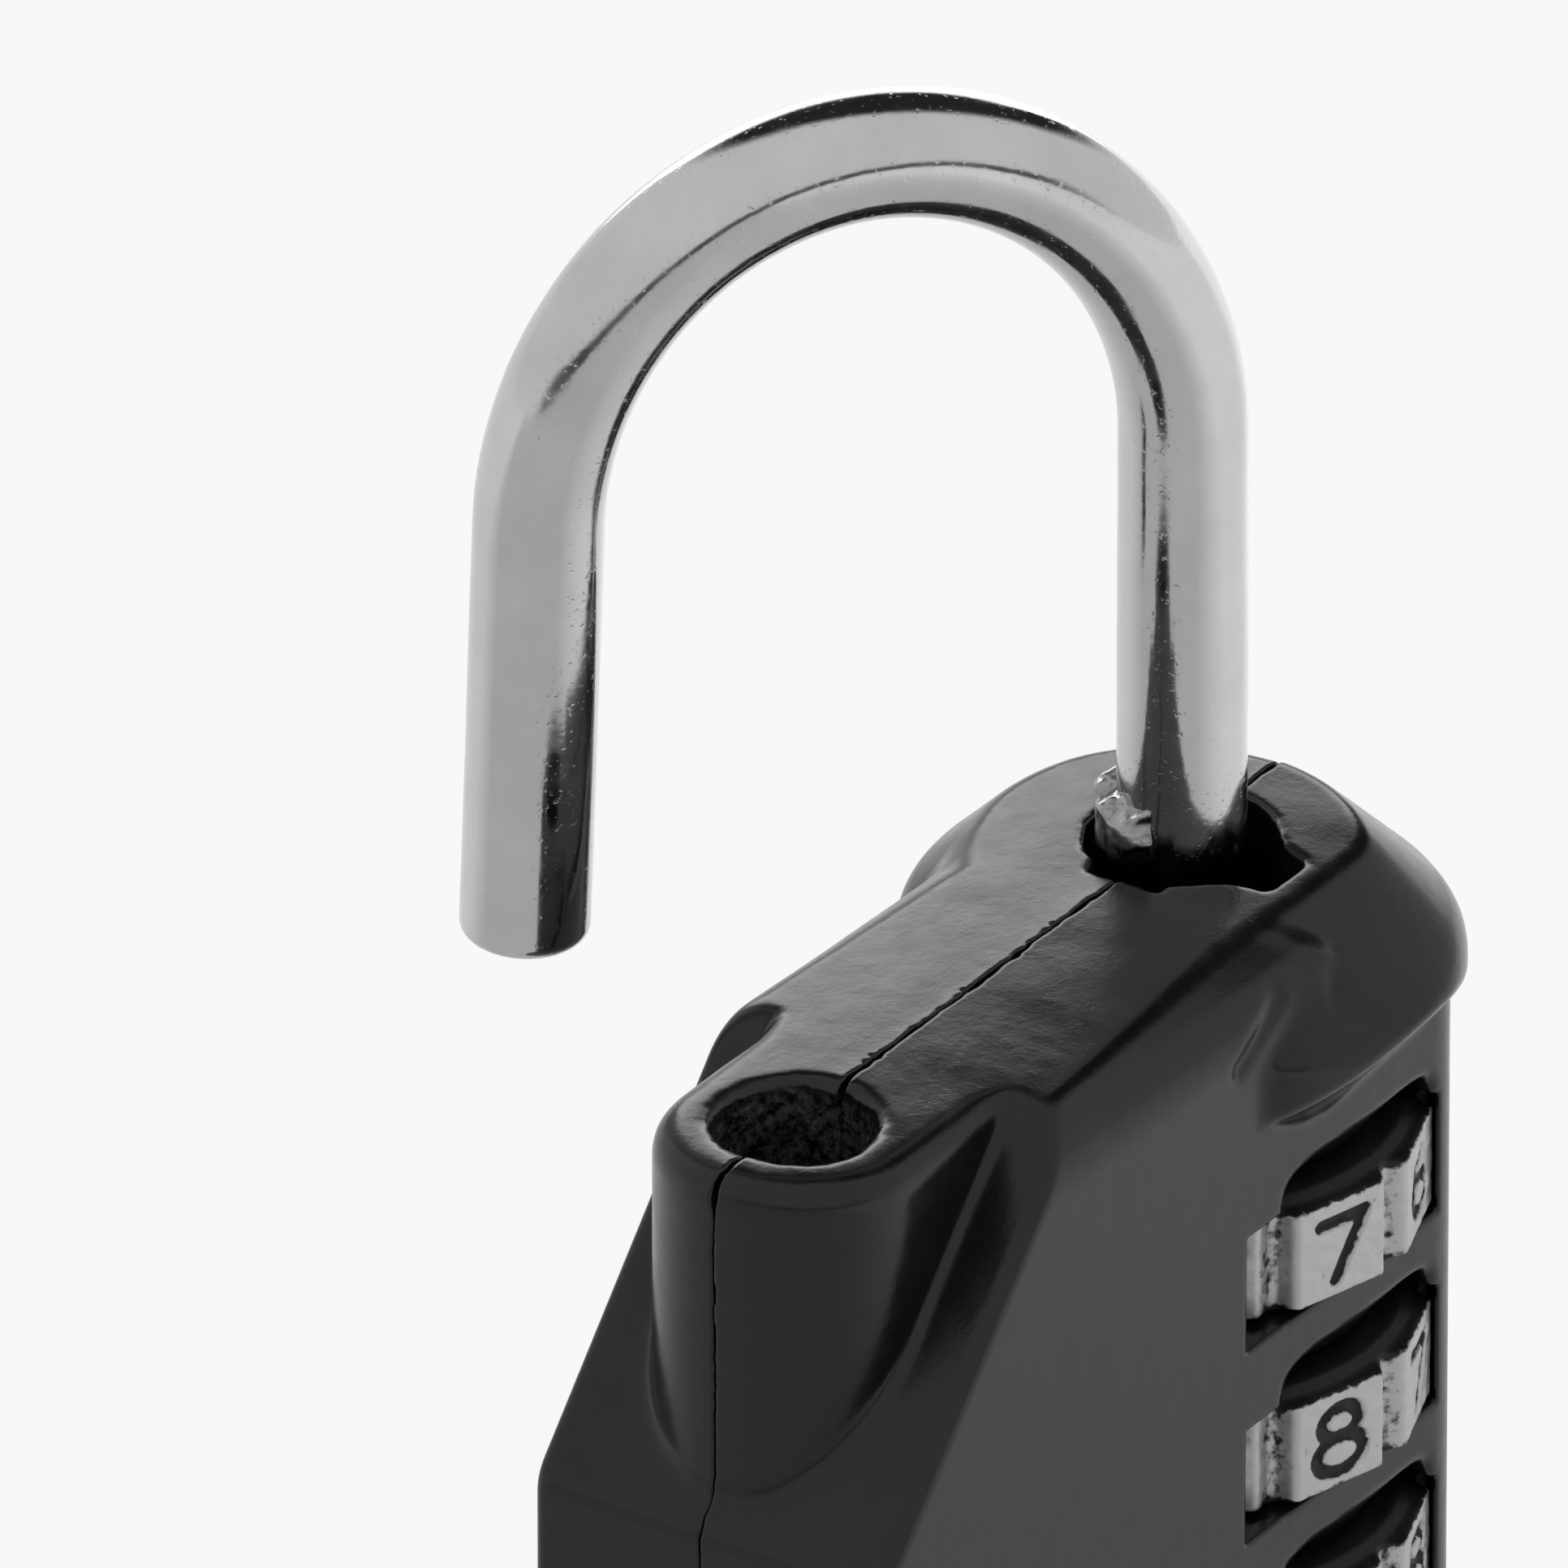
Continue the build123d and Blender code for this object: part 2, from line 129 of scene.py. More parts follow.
# ---------------------------------------------------------------- housing
# Depths are from the seam, drops are from the top, and points are (depth, height) unless said otherwise.
FACE_Y = 10.1                   # flat front
REAR_Y = 9.2                    # flat rear
SIDE_X = -23.3                  # narrow end
SHOULDER_TOP_X = -7.2
SHOULDER_DROP = 18.0
BLOCK_END = 3.0                 # how far the block runs past the heel axis, inside the barrel
FRONT_EDGE = 1.5                # blend of the chamfer into the face
REAR_EDGE = 0.8
BLOCK_EDGE = 0.75
END_EDGE = 0.6

CHAMFER_HEAD = 8.4              # depth of the chamfer's upper edge at the shoulder
CHAMFER_WIDENS = 0.95           # how much less that is at the brow
CHAMFER_RUN = 17.0
CHAMFER_HEAD_DROP = 0.75
CHAMFER_FOOT_DROP = 2.45
UNDER_BROW_HEAD = (HEEL_X - 4.0, TOP)           # (x, height) of the slope that ends the block
UNDER_BROW_FOOT = (HEEL_X + 2.5, TOP - 6.0)

GROOVE_HEAD = (HEEL_X - 6.4, TOP - 2.4)         # (x, height) of the groove beside the brow's left end
GROOVE_RUN = (-3.7, -2.0)
GROOVE_HEADING = (-0.88, -0.48)
GROOVE_LENGTH = 4.2
GROOVE_DEPTH = 0.25
GROOVE_WIDTH = 0.5

CROWN_SLOPE = 0.024             # fall of the top per mm of depth
CROWN_CURVE = 0.0056            # and per mm squared
FLASH_WIDTH = 0.6
REAR_FLASH = 0.08
FRONT_FLASH = 0.015
TOP_EDGE = 0.35                 # blend of the top into the walls
BOSS_TOP_EDGE = 1.6
FOOT_EDGE = 1.0

TOE_BOSS_RADIUS = 6.45
BOSS_STRIP = 5.0                # how far the boss's sides run on past the shoulder's head
BOSS_FOOT = TOP - SHOULDER_DROP - 1.0
BOSS_BLEND = 0.65
BARREL_BLEND = (0.02, 0.6)      # in front, and how much more behind
BROW_BLEND = (0.4, 0.5)

BARREL_RADIUS = 12.4
BARREL_DROP = 6.0
BARREL_EDGE = 0.8

BROW_RADIUS = 13.1
BROW_SLOPE_HEAD = (7.95, TOP)                   # (radius, height)
BROW_SLOPE_FOOT = (BROW_RADIUS, TOP - 5.15)
BROW_REAR_FILL = 0.9            # how much fuller the slope is behind
BROW_REAR_START, BROW_REAR_END = 5, 75          # degrees behind +X
BROW_FACET_HEAD = (7.75, TOP - 0.95)
BROW_FACET_FOOT = (12.2, TOP - 4.85)
BROW_CORNER = (-6.25, 11.5, 5.5)                # x from the heel axis, depth and drop
BROW_CORNER_NORMAL = (-0.117, 0.822, 0.56)
BROW_EDGE = 0.8
FACET_EDGE = 0.7
CORNER_EDGE = 0.25
LIP_EDGE = 0.35
CREASE_AT = 0.5                 # the crease runs where x from the heel axis plus drop is this
CREASE_WIDTH = 0.85
CREASE_DEPTH = 0.26
CREASE_START, CREASE_END = 1.8, 3.0
LIP_DROP = 8.9
LIP_ARCH = 2.85
LIP_FACING = 5                  # degrees from the front towards +X
LIP_SPREAD = 38.0
LIP_UNDERCUT = (3.0, 3.4)

TOE_SOCKET_RADIUS = 3.68
TOE_SOCKET_DEPTH = 11.6
TOE_MOUTH_EDGE = 0.85
HEEL_HOLE_RADIUS = 4.45
HEEL_HOLE_DEPTH = 10.6
HEEL_MOUTH_EDGE = 0.4
KEYWAY_REACH = 5.1              # towards the toe socket, for the staked ear
KEYWAY_HALF = 1.9
KEYWAY_EDGE = 0.5
KEYWAY_BLEND = 0.7
RESET_REACH = 5.9               # towards the front, for the ear when the code is changed
RESET_HALF = 1.8
RESET_SHIFT = 0.1
RESET_EDGE = 0.9
RESET_BLEND = 1.0
LEDGE_BORE = 3.3
LEDGE_BORE_DEPTH = 3.0
LEDGE = 1.2
CHAMBER_RADIUS = 5.75
FLOOR_THICKNESS = 1.7
CELL_RADIUS = 11.65
CELL_HEIGHT = 6.5
CELL_BELOW = 2.8                # cells are shallower under the plates than over them

WINDOW_LEFT = -9.5              # from the heel axis
WINDOW_RIGHT = 5.7
WINDOW_BACK = 2.0               # openings in front stay this far from the seam
WINDOW_CORNER = 0.15
WINDOW_EDGE = 0.12
SCOOP_INSET = 3.0
SCOOP_PATH = 10.6
SCOOP_RADIUS = 1.4
SCOOP_BLEND = 1.3
SCOOP_EDGE = 0.8

SKIN_FINE = (0.022, 2.3)        # (height, feature size) of each layer of unevenness
SKIN_BROAD = (0.035, 6.5)
MOUTH_BROAD = (0.10, 1.1)
MOUTH_FINE = (0.07, 0.45)
SEAM_BROAD = (0.10, 1.9)
SEAM_FINE = (0.05, 0.5)
ROUGH_DROP = 9.0                # the skin is uneven down to here
SEAM_GAP = 0.02
SEAM_GAP_ON_TOP = 0.03
SEAM_OPENS = (0.03, 0.07)       # anywhere, and more on top
SEAM_FRAYS = (0.42, 0.06)       # rear and front half
SEAM_EDGE = (0.08, 0.1)         # anywhere, and more on top
SEAM_TOP = (TOP - 3, TOP - 1)   # where the seam turns to its state on top
SEAT_OFFSET = 0.05              # the rear half sits this much lower and the front half higher


def ramp(value, low, high):
    """0 below low, 1 above high, smooth between."""
    t = np.clip((value - low) / (high - low), 0, 1)
    return t * t * (3 - 2 * t)


def bell(value, width):
    """1 at zero, falling off smoothly to either side."""
    return np.exp(-((value / width) ** 2))


def layer(noise, x, y, z, height_and_size):
    height, size = height_and_size
    return height * noise(x, y, z, size)


def crown_height(across, half):
    """Top surface: crowned, with a slight raised flash along the seam, higher on the rear half."""
    flash = REAR_FLASH if half > 0 else FRONT_FLASH
    return TOP - CROWN_SLOPE * across - CROWN_CURVE * across * across + flash * np.exp(-across / FLASH_WIDTH)


def groove_beside_brow(x, y, z):
    dx, dz = x - GROOVE_HEAD[0], z - GROOVE_HEAD[1]
    along = np.clip((dx * GROOVE_HEADING[0] + dz * GROOVE_HEADING[1]) / GROOVE_LENGTH, 0, 1)
    beside = np.hypot(dx - GROOVE_RUN[0] * along, dz - GROOVE_RUN[1] * along)
    return GROOVE_DEPTH * bell(beside, GROOVE_WIDTH) * (y < 0)


def block_walls(x, y, z, across):
    """Flat block without its top: chamfer, front face, sloping shoulder and narrow end."""
    head = CHAMFER_HEAD - CHAMFER_WIDENS * np.clip((x - SHOULDER_TOP_X) / CHAMFER_RUN, 0, 1)
    chamfer = below_line(across, z, (head, TOP - CHAMFER_HEAD_DROP), (FACE_Y, TOP - CHAMFER_FOOT_DROP))
    flat = across - np.where(y < 0, FACE_Y, REAR_Y) + groove_beside_brow(x, y, z)
    face = both(chamfer, flat, np.where(y < 0, FRONT_EDGE, REAR_EDGE))
    shoulder = below_line(-x, z, (-SHOULDER_TOP_X, TOP), (-SIDE_X, TOP - SHOULDER_DROP))
    end = both(shoulder, SIDE_X - x, END_EDGE)
    under_brow = below_line(x, z, UNDER_BROW_HEAD, UNDER_BROW_FOOT)
    walls = both(both(face, end, BLOCK_EDGE), under_brow, BROW_EDGE)
    return both(walls, x - HEEL_X - BLOCK_END)


def boss_walls(x, y, z, across):
    """Half-round end round the toe socket with the strip that joins it to the block."""
    round_end = np.hypot(x - TOE_X, y) - TOE_BOSS_RADIUS
    strip = every([across - TOE_BOSS_RADIUS, TOE_X - x, x - (SHOULDER_TOP_X + BOSS_STRIP)])
    return both(join(round_end, strip), BOSS_FOOT - z)


def brow_walls(x, y, z, across):
    """Hipped cap over the dials: front facets, rounded flank and a lip that arches over the windows."""
    dx = x - HEEL_X
    drop = TOP - z
    r = np.hypot(dx, y)
    facet = below_line(across, z, BROW_FACET_HEAD, BROW_FACET_FOOT)
    crease = CREASE_DEPTH * bell(dx + drop - CREASE_AT, CREASE_WIDTH) * ramp(drop, CREASE_START, CREASE_END)
    corner = BROW_CORNER_NORMAL[0] * (dx - BROW_CORNER[0])
    corner = corner + BROW_CORNER_NORMAL[1] * (across - BROW_CORNER[1])
    corner = corner + BROW_CORNER_NORMAL[2] * (BROW_CORNER[2] - drop)
    front = both(facet + crease, corner, CORNER_EDGE)
    behind = ramp(np.degrees(np.arctan2(y, dx)), BROW_REAR_START, BROW_REAR_END)
    slope = below_line(r - BROW_REAR_FILL * behind, z, BROW_SLOPE_HEAD, BROW_SLOPE_FOOT)
    flank = both(slope, r - BROW_RADIUS, BROW_EDGE)
    shape = np.where(y < 0, both(front, flank, FACET_EDGE), flank)
    facing = np.degrees(np.arctan2(dx, across))
    lip = TOP - LIP_DROP + LIP_ARCH * bell(facing - LIP_FACING, LIP_SPREAD)
    under = -below_line(r, z, (BROW_RADIUS - LIP_UNDERCUT[0], lip - LIP_UNDERCUT[1]), (BROW_RADIUS, lip))
    return both(shape, under, LIP_EDGE)


def barrel(x, y, z):
    """Round side round the dials, cut off flat in front."""
    shape = np.hypot(x - HEEL_X, y) - BARREL_RADIUS
    shape = both(shape, -y - FACE_Y, BARREL_EDGE)
    return both(shape, z - (TOP - BARREL_DROP))


def at_every_dial(make):
    """Union of what make(middle height) gives for each dial."""
    result = make(dial_middle(0))
    for number in range(1, DIAL_COUNT):
        result = join(result, make(dial_middle(number)))
    return result


def scoops(x, y, z):
    """Thumb scoops along the upper edges of the windows."""
    dx = x - HEEL_X
    r = np.hypot(dx, y)
    grooves = at_every_dial(
        lambda middle: np.hypot(r - SCOOP_PATH, z - (middle + CELL_HEIGHT / 2)) - SCOOP_RADIUS
    )
    wide = slab(dx, WINDOW_LEFT + SCOOP_INSET, WINDOW_RIGHT)
    return every([grooves, wide, y + WINDOW_BACK], SCOOP_BLEND)


def windows(x, y, z):
    """Straight-sided openings over the dials."""
    wide = slab(x - HEEL_X, WINDOW_LEFT, WINDOW_RIGHT)
    rows = at_every_dial(lambda middle: slab(z, middle - CELL_BELOW, middle + CELL_HEIGHT / 2))
    return every([rows, wide, y + WINDOW_BACK], WINDOW_CORNER)


def heel_bores(x, y, z, wobble):
    """Heel hole with its two keyways, ledge bore, sleeve chamber and dial cells."""
    dx = x - HEEL_X
    r = np.hypot(dx, y)
    hole_foot = TOP - HEEL_HOLE_DEPTH
    hole = r - HEEL_HOLE_RADIUS - wobble
    keyway = every([slab(y, -KEYWAY_HALF, KEYWAY_HALF), slab(dx, -KEYWAY_REACH, 0)], KEYWAY_EDGE)
    reset = every([slab(dx + RESET_SHIFT, -RESET_HALF, RESET_HALF), slab(y, -RESET_REACH, 0)], RESET_EDGE)
    hole = join(join(hole, keyway - wobble, KEYWAY_BLEND), reset - wobble, RESET_BLEND)
    hole = both(hole, hole_foot - z)
    shape = join(hole, every([r - LEDGE_BORE, (hole_foot - LEDGE_BORE_DEPTH) - z]))
    shape = join(shape, every([r - CHAMBER_RADIUS, slab(z, FLOOR_THICKNESS, hole_foot - LEDGE)]))
    cells = at_every_dial(
        lambda middle: every([r - CELL_RADIUS, slab(z, middle - CELL_BELOW, middle + CELL_HEIGHT / 2)])
    )
    return join(shape, cells)


def split_by_seam(body, noise, x, y, z, half):
    """Cut a body down to one half along a seam that wanders, opens in places and is frayed on top."""
    level = 0 * y
    wander = layer(noise, x, 3.0 + level, z, SEAM_BROAD) + layer(noise, x, 3.0 + level, z, SEAM_FINE)
    open_by = np.clip(noise(x, 8.0 + level, z, 1.2) + 0.3, 0, 1)
    on_top = ramp(z, *SEAM_TOP)
    most = SEAM_FRAYS[0] if half > 0 else SEAM_FRAYS[1]
    frayed = np.clip(noise(x, 17.0 + level, z, 0.3), 0, 1) ** 2 * on_top * most
    gap = SEAM_GAP + SEAM_GAP_ON_TOP * on_top + open_by * (SEAM_OPENS[0] + SEAM_OPENS[1] * on_top) + frayed
    return both(body, gap - (y - wander) * half, SEAM_EDGE[0] + SEAM_EDGE[1] * on_top)


def housing(noise, half):
    """Solid of one half; half is -1 for the front and +1 for the rear."""

    def solid(x, y, z):
        z = z + SEAT_OFFSET * half
        across = np.abs(y)
        body = join(block_walls(x, y, z, across), boss_walls(x, y, z, across), BOSS_BLEND)
        behind = y > 0
        body = join(body, barrel(x, y, z), BARREL_BLEND[0] + BARREL_BLEND[1] * behind)
        body = join(body, brow_walls(x, y, z, across), BROW_BLEND[0] + BROW_BLEND[1] * behind)
        at_boss = 1 - ramp(x, SHOULDER_TOP_X - 3, SHOULDER_TOP_X + 1)
        edge = TOP_EDGE + (BOSS_TOP_EDGE - TOP_EDGE) * at_boss
        body = both(body, z - crown_height(across, half), edge)
        body = both(body, -z, FOOT_EDGE)
        near_top = np.clip((z - (TOP - ROUGH_DROP)) / ROUGH_DROP, 0, 1)
        body = body + near_top * (layer(noise, x, y, z, SKIN_FINE) + layer(noise, x + 40, y, z, SKIN_BROAD))
        ragged = layer(noise, x, y, z, MOUTH_BROAD) + layer(noise, x, y + 9, z, MOUTH_FINE)
        socket = np.hypot(x - TOE_X, y) - TOE_SOCKET_RADIUS - ragged
        socket = both(socket, (TOP - TOE_SOCKET_DEPTH) - z)
        body = cut(body, socket, TOE_MOUTH_EDGE)
        body = cut(body, heel_bores(x, y, z, ragged), HEEL_MOUTH_EDGE)
        body = cut(body, scoops(x, y, z), SCOOP_EDGE)
        body = cut(body, windows(x, y, z), WINDOW_EDGE)
        return split_by_seam(body, noise, x, y, z, half)

    return solid


# ---------------------------------------------------------------- meshes from solids
NEAR_SKIN = 0.7                 # a plain solid's values below this are worked out again in full
FINE_STEP = (0.19, 0.17)        # grid steps along x, and along z over the dials
COARSE_STEP = 0.4               # along z below them


def spaced(stops):
    """Grid lines from (start, end, step) stretches that follow on from each other."""
    lines = []
    for start, end, step in stops:
        count = max(1, int(round((end - start) / step)))
        lines.extend(start + (end - start) * i / count for i in range(count))
    lines.append(stops[-1][1])
    return np.array(lines, np.float32)


def surface(solid, xs, ys, zs, plain=None, settle=2):
    """Quads on the solid's skin, one vertex in each grid cell that the skin crosses.

    A plain version of the solid, if given, saves working out the full one far from the skin.
    """
    grid = np.meshgrid(xs, ys, zs, indexing="ij")
    values = (plain or solid)(*grid).astype(np.float32)
    if plain:
        near = np.abs(values) < NEAR_SKIN
        values[near] = solid(*(axis[near] for axis in grid))
    inside = values < 0
    counts = sum(
        inside[i : i + len(xs) - 1, j : j + len(ys) - 1, k : k + len(zs) - 1].astype(np.int8)
        for i in (0, 1)
        for j in (0, 1)
        for k in (0, 1)
    )
    cells = np.argwhere((counts > 0) & (counts < 8))
    number = np.full(counts.shape, -1, np.int32)
    number[tuple(cells.T)] = np.arange(len(cells))
    place = np.zeros((len(cells), 3))
    hits = np.zeros(len(cells))
    for axis in range(3):
        for a in (0, 1):
            for b in (0, 1):
                start = np.insert([a, b], axis, 0)
                end = np.insert([a, b], axis, 1)
                f0 = values[tuple((cells + start).T)]
                f1 = values[tuple((cells + end).T)]
                crossed = (f0 < 0) != (f1 < 0)
                t = np.where(crossed, f0 / np.where(crossed, f0 - f1, 1), 0)
                point = np.repeat(start[None, :].astype(float), len(cells), 0)
                point[:, axis] = t
                place += point * crossed[:, None]
                hits += crossed
    place /= hits[:, None]
    points = np.empty_like(place)
    for axis, lines in enumerate((xs, ys, zs)):
        low = lines[cells[:, axis]]
        points[:, axis] = low + place[:, axis] * (lines[cells[:, axis] + 1] - low)
    for _ in range(settle):
        points -= step_to_skin(solid, points)
    quads = []
    for axis in range(3):
        u, v = [a for a in range(3) if a != axis]
        first = np.take(inside, range(inside.shape[axis] - 1), axis)
        second = np.take(inside, range(1, inside.shape[axis]), axis)
        edges = np.argwhere(first != second)
        keep = (edges[:, u] > 0) & (edges[:, v] > 0)
        keep &= (edges[:, u] < counts.shape[u]) & (edges[:, v] < counts.shape[v])
        edges = edges[keep]
        flip = first[tuple(edges.T)] == (axis == 1)
        ring = []
        for du, dv in ((-1, -1), (0, -1), (0, 0), (-1, 0)):
            cell = edges.copy()
            cell[:, u] += du
            cell[:, v] += dv
            ring.append(number[tuple(cell.T)])
        ring = np.stack(ring, 1)
        ring[flip] = ring[flip][:, ::-1]
        quads.append(ring[:, ::-1])
    return points, np.concatenate(quads)


def step_to_skin(solid, points, reach=0.02, limit=0.12):
    """Move that takes each point onto the solid's skin, no longer than the limit."""
    x, y, z = points.T
    value = solid(x, y, z)
    slope = np.stack(
        [
            solid(x + reach, y, z) - value,
            solid(x, y + reach, z) - value,
            solid(x, y, z + reach) - value,
        ],
        1,
    ) / reach
    length = np.maximum((slope**2).sum(1), 0.2)
    move = slope * (value / length)[:, None]
    size = np.linalg.norm(move, axis=1)
    return move * np.minimum(1, limit / np.maximum(size, 1e-9))[:, None]


def mesh_object(name, points, faces, smooth=True):
    """Object from points in mm."""
    mesh = bpy.data.meshes.new(name)
    mesh.from_pydata((np.asarray(points) * MM).tolist(), [], [list(map(int, f)) for f in faces])
    mesh.validate()
    mesh.polygons.foreach_set("use_smooth", [smooth] * len(mesh.polygons))
    obj = bpy.data.objects.new(name, mesh)
    bpy.context.scene.collection.objects.link(obj)
    return obj


def make_housings(paint):
    noise = Noise(5)
    fine = 1.0
    xs = spaced([(-24.2, 29.6, FINE_STEP[0] * fine)])
    zs = spaced([(-0.8, 28, COARSE_STEP * fine), (28, 61, FINE_STEP[1] * fine)])
    for name, half in (("front", -1), ("rear", 1)):
        side = spaced([(-0.3, 0.5, 0.1), (0.5, 3, 0.2 * fine), (3, 14.0, 0.25 * fine)])
        ys = side if half > 0 else -side[::-1]
        points, quads = surface(housing(noise, half), xs, ys, zs, housing(lambda *place: 0.0, half))
        obj = mesh_object(f"{name}_shell", points, quads)
        obj.data.materials.append(paint)
        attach(obj, "case")
        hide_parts(f"{name}_housing")


# ---------------------------------------------------------------- digits
STROKE = 0.35                   # half width of an engraved stroke
STROKE_EDGE = 0.06
ENGRAVED_DEPTH = 0.28
FAR = 9.0                       # stands for a distance from any stroke


def arc(cx, cz, rx, rz, start, end, count=14):
    """Points on an ellipse between two angles in degrees, counted from +X."""
    angles = np.radians(np.linspace(start, end, count))
    return [(cx + rx * cos(a), cz + rz * sin(a)) for a in angles]


DIGIT_LINES = {
    0: [arc(0, 0, 1.15, 1.55, 0, 360, 28)],
    1: [[(-0.75, 0.9), (0.15, 1.65), (0.15, -1.65)]],
    2: [arc(0, 0.62, 1.15, 0.93, 165, -35) + [(-1.2, -1.5), (1.25, -1.5)]],
    3: [arc(-0.05, 0.75, 1.1, 0.8, 160, -80) + arc(-0.05, -0.72, 1.25, 0.85, 85, -160)],
    4: [[(0.5, -1.55), (0.5, 1.5), (-1.25, -0.6), (1.25, -0.6)]],
    5: [[(1.1, 1.5), (-0.8, 1.5), (-1.0, 0.2)] + arc(0, -0.55, 1.25, 1.0, 130, -150)],
    6: [arc(0, -0.65, 1.15, 0.9, 0, 360, 28), arc(0.6, -0.5, 1.75, 2.05, 105, 180)],
    7: [[(-1.2, 1.4), (1.4, 1.4), (-0.3, -1.65)]],
    8: [arc(0, 0.82, 1.1, 0.8, 0, 360, 26), arc(0, -0.82, 1.4, 0.92, 0, 360, 28)],
    9: [arc(0, 0.65, 1.15, 0.9, 0, 360, 28), arc(-0.6, 0.5, 1.75, 2.05, -75, 0)],
}


def digit_distance(digit, u, v):
    """Distance from the middle line of a digit's strokes."""
    nearest = np.full(u.shape, FAR)
    for line in DIGIT_LINES[digit]:
        for (ax, az), (bx, bz) in zip(line[:-1], line[1:]):
            length = (bx - ax) ** 2 + (bz - az) ** 2
            along = np.clip(((u - ax) * (bx - ax) + (v - az) * (bz - az)) / length, 0, 1)
            gap = np.hypot(u - ax - along * (bx - ax), v - az - along * (bz - az))
            nearest = np.minimum(nearest, gap)
    return nearest


# ---------------------------------------------------------------- dials
DIGITS = 10
DIAL_REST_ANGLE = 255.0
FIRST_DIGITS = (7, 8, 9, 4)     # digit on the rest-angle plate of each dial
PLATE_APOTHEM = 11.25
PLATE_WIDTH = 5.0
PLATE_HEIGHT = 4.9
PLATE_SIDES = (-0.1, 1.0)       # where a plate starts and ends to sink into the valley beside it
PLATE_ENDS = (-0.05, 0.2)       # the same above and below it
VALLEY_DEPTH = 0.5
VALLEY_SHADE = (3.3, 0.45)      # place beside the plate's middle, and width, of the painted shade down the valley beside each plate
DIAL_HEIGHT = 6.2
DIAL_BELOW = 2.65               # the wheel's foot, from its middle
DIAL_BORE = 5.65
BORE_CHAMFER = 0.15
DIAL_RIM_RADIUS = 10.3
RIM_CHAMFER = 0.25
BEVEL_HEAD = 11.0               # radius of the black rim beside the plates
BEVEL_FALL = 0.9                # and how much less it is at the wheel's face
RIM_INSET = 0.04                # the rim's outer rows stand this far inside the faces
PLATE_ROUGH = 0.035
FOIL_EDGE = (2.42, 2.54)        # height at which the silver foil ends
NOISE_RADIUS = 11
DIAL_SEED_SHIFT = 13.0


def dial_skin(first_digit, noise, seed_shift):
    """Height field of a dial's rim: radius and silver cover over angle and height; the cover is thinned down
    the valleys beside the plates as painted shade.
    """
    columns, rows = ((74, 76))
    half_plate = PLATE_WIDTH / 2
    plate_top = PLATE_HEIGHT / 2
    angle = np.linspace(0, 2 * pi, DIGITS * columns, endpoint=False)
    height = np.linspace(-DIAL_BELOW, DIAL_HEIGHT / 2, rows)
    angle_grid, height_grid = np.meshgrid(angle, height, indexing="ij")
    off_middle = np.abs(height_grid)
    sector = 2 * pi / DIGITS
    plate = np.round(angle_grid / sector)
    turn = angle_grid - plate * sector
    flat = PLATE_APOTHEM / np.cos(turn)
    u = PLATE_APOTHEM * np.tan(turn)
    valley = PLATE_APOTHEM - VALLEY_DEPTH
    on_plate = 1 - ramp(np.abs(u), half_plate + PLATE_SIDES[0], half_plate + PLATE_SIDES[1])
    in_band = 1 - ramp(off_middle, plate_top + PLATE_ENDS[0], plate_top + PLATE_ENDS[1])
    radius = valley + (flat - valley) * on_plate
    engraved = np.full(u.shape, FAR)
    for index in range(DIGITS):
        here = plate % DIGITS == index
        digit = (first_digit - index) % DIGITS
        engraved[here] = digit_distance(digit, u[here], height_grid[here])
    groove = 1 - ramp(engraved, STROKE - STROKE_EDGE, STROKE + STROKE_EDGE)
    radius = radius - ENGRAVED_DEPTH * groove * on_plate
    beside = np.clip((off_middle - plate_top) / (DIAL_HEIGHT / 2 - plate_top), 0, 1)
    bevel = np.minimum(BEVEL_HEAD - BEVEL_FALL * beside, radius)
    radius = bevel + (radius - bevel) * in_band
    x, y = NOISE_RADIUS * np.cos(angle_grid), NOISE_RADIUS * np.sin(angle_grid)
    z = height_grid + seed_shift
    rough = noise(x, y, z, 0.55)
    blotch = noise(x + 20, y, z, 1.3)
    radius = radius + PLATE_ROUGH * rough * in_band
    # painted shade: less silver down the valley beside each plate, where the groove lies in shade; the
    # blotches and worn plate edges below are the foil's own
    valley_shade = bell(np.abs(u) - VALLEY_SHADE[0], VALLEY_SHADE[1])
    edge_wear = ramp(off_middle, plate_top - 0.35, plate_top + 0.05)
    cover = 0.86 + 0.14 * blotch + 0.1 * rough - 0.36 * valley_shade - 0.3 * edge_wear
    cover = cover * (1 - ramp(off_middle, *FOIL_EDGE))
    silver = np.clip(cover, 0, 1) * (1 - groove * on_plate)
    return height, radius, silver


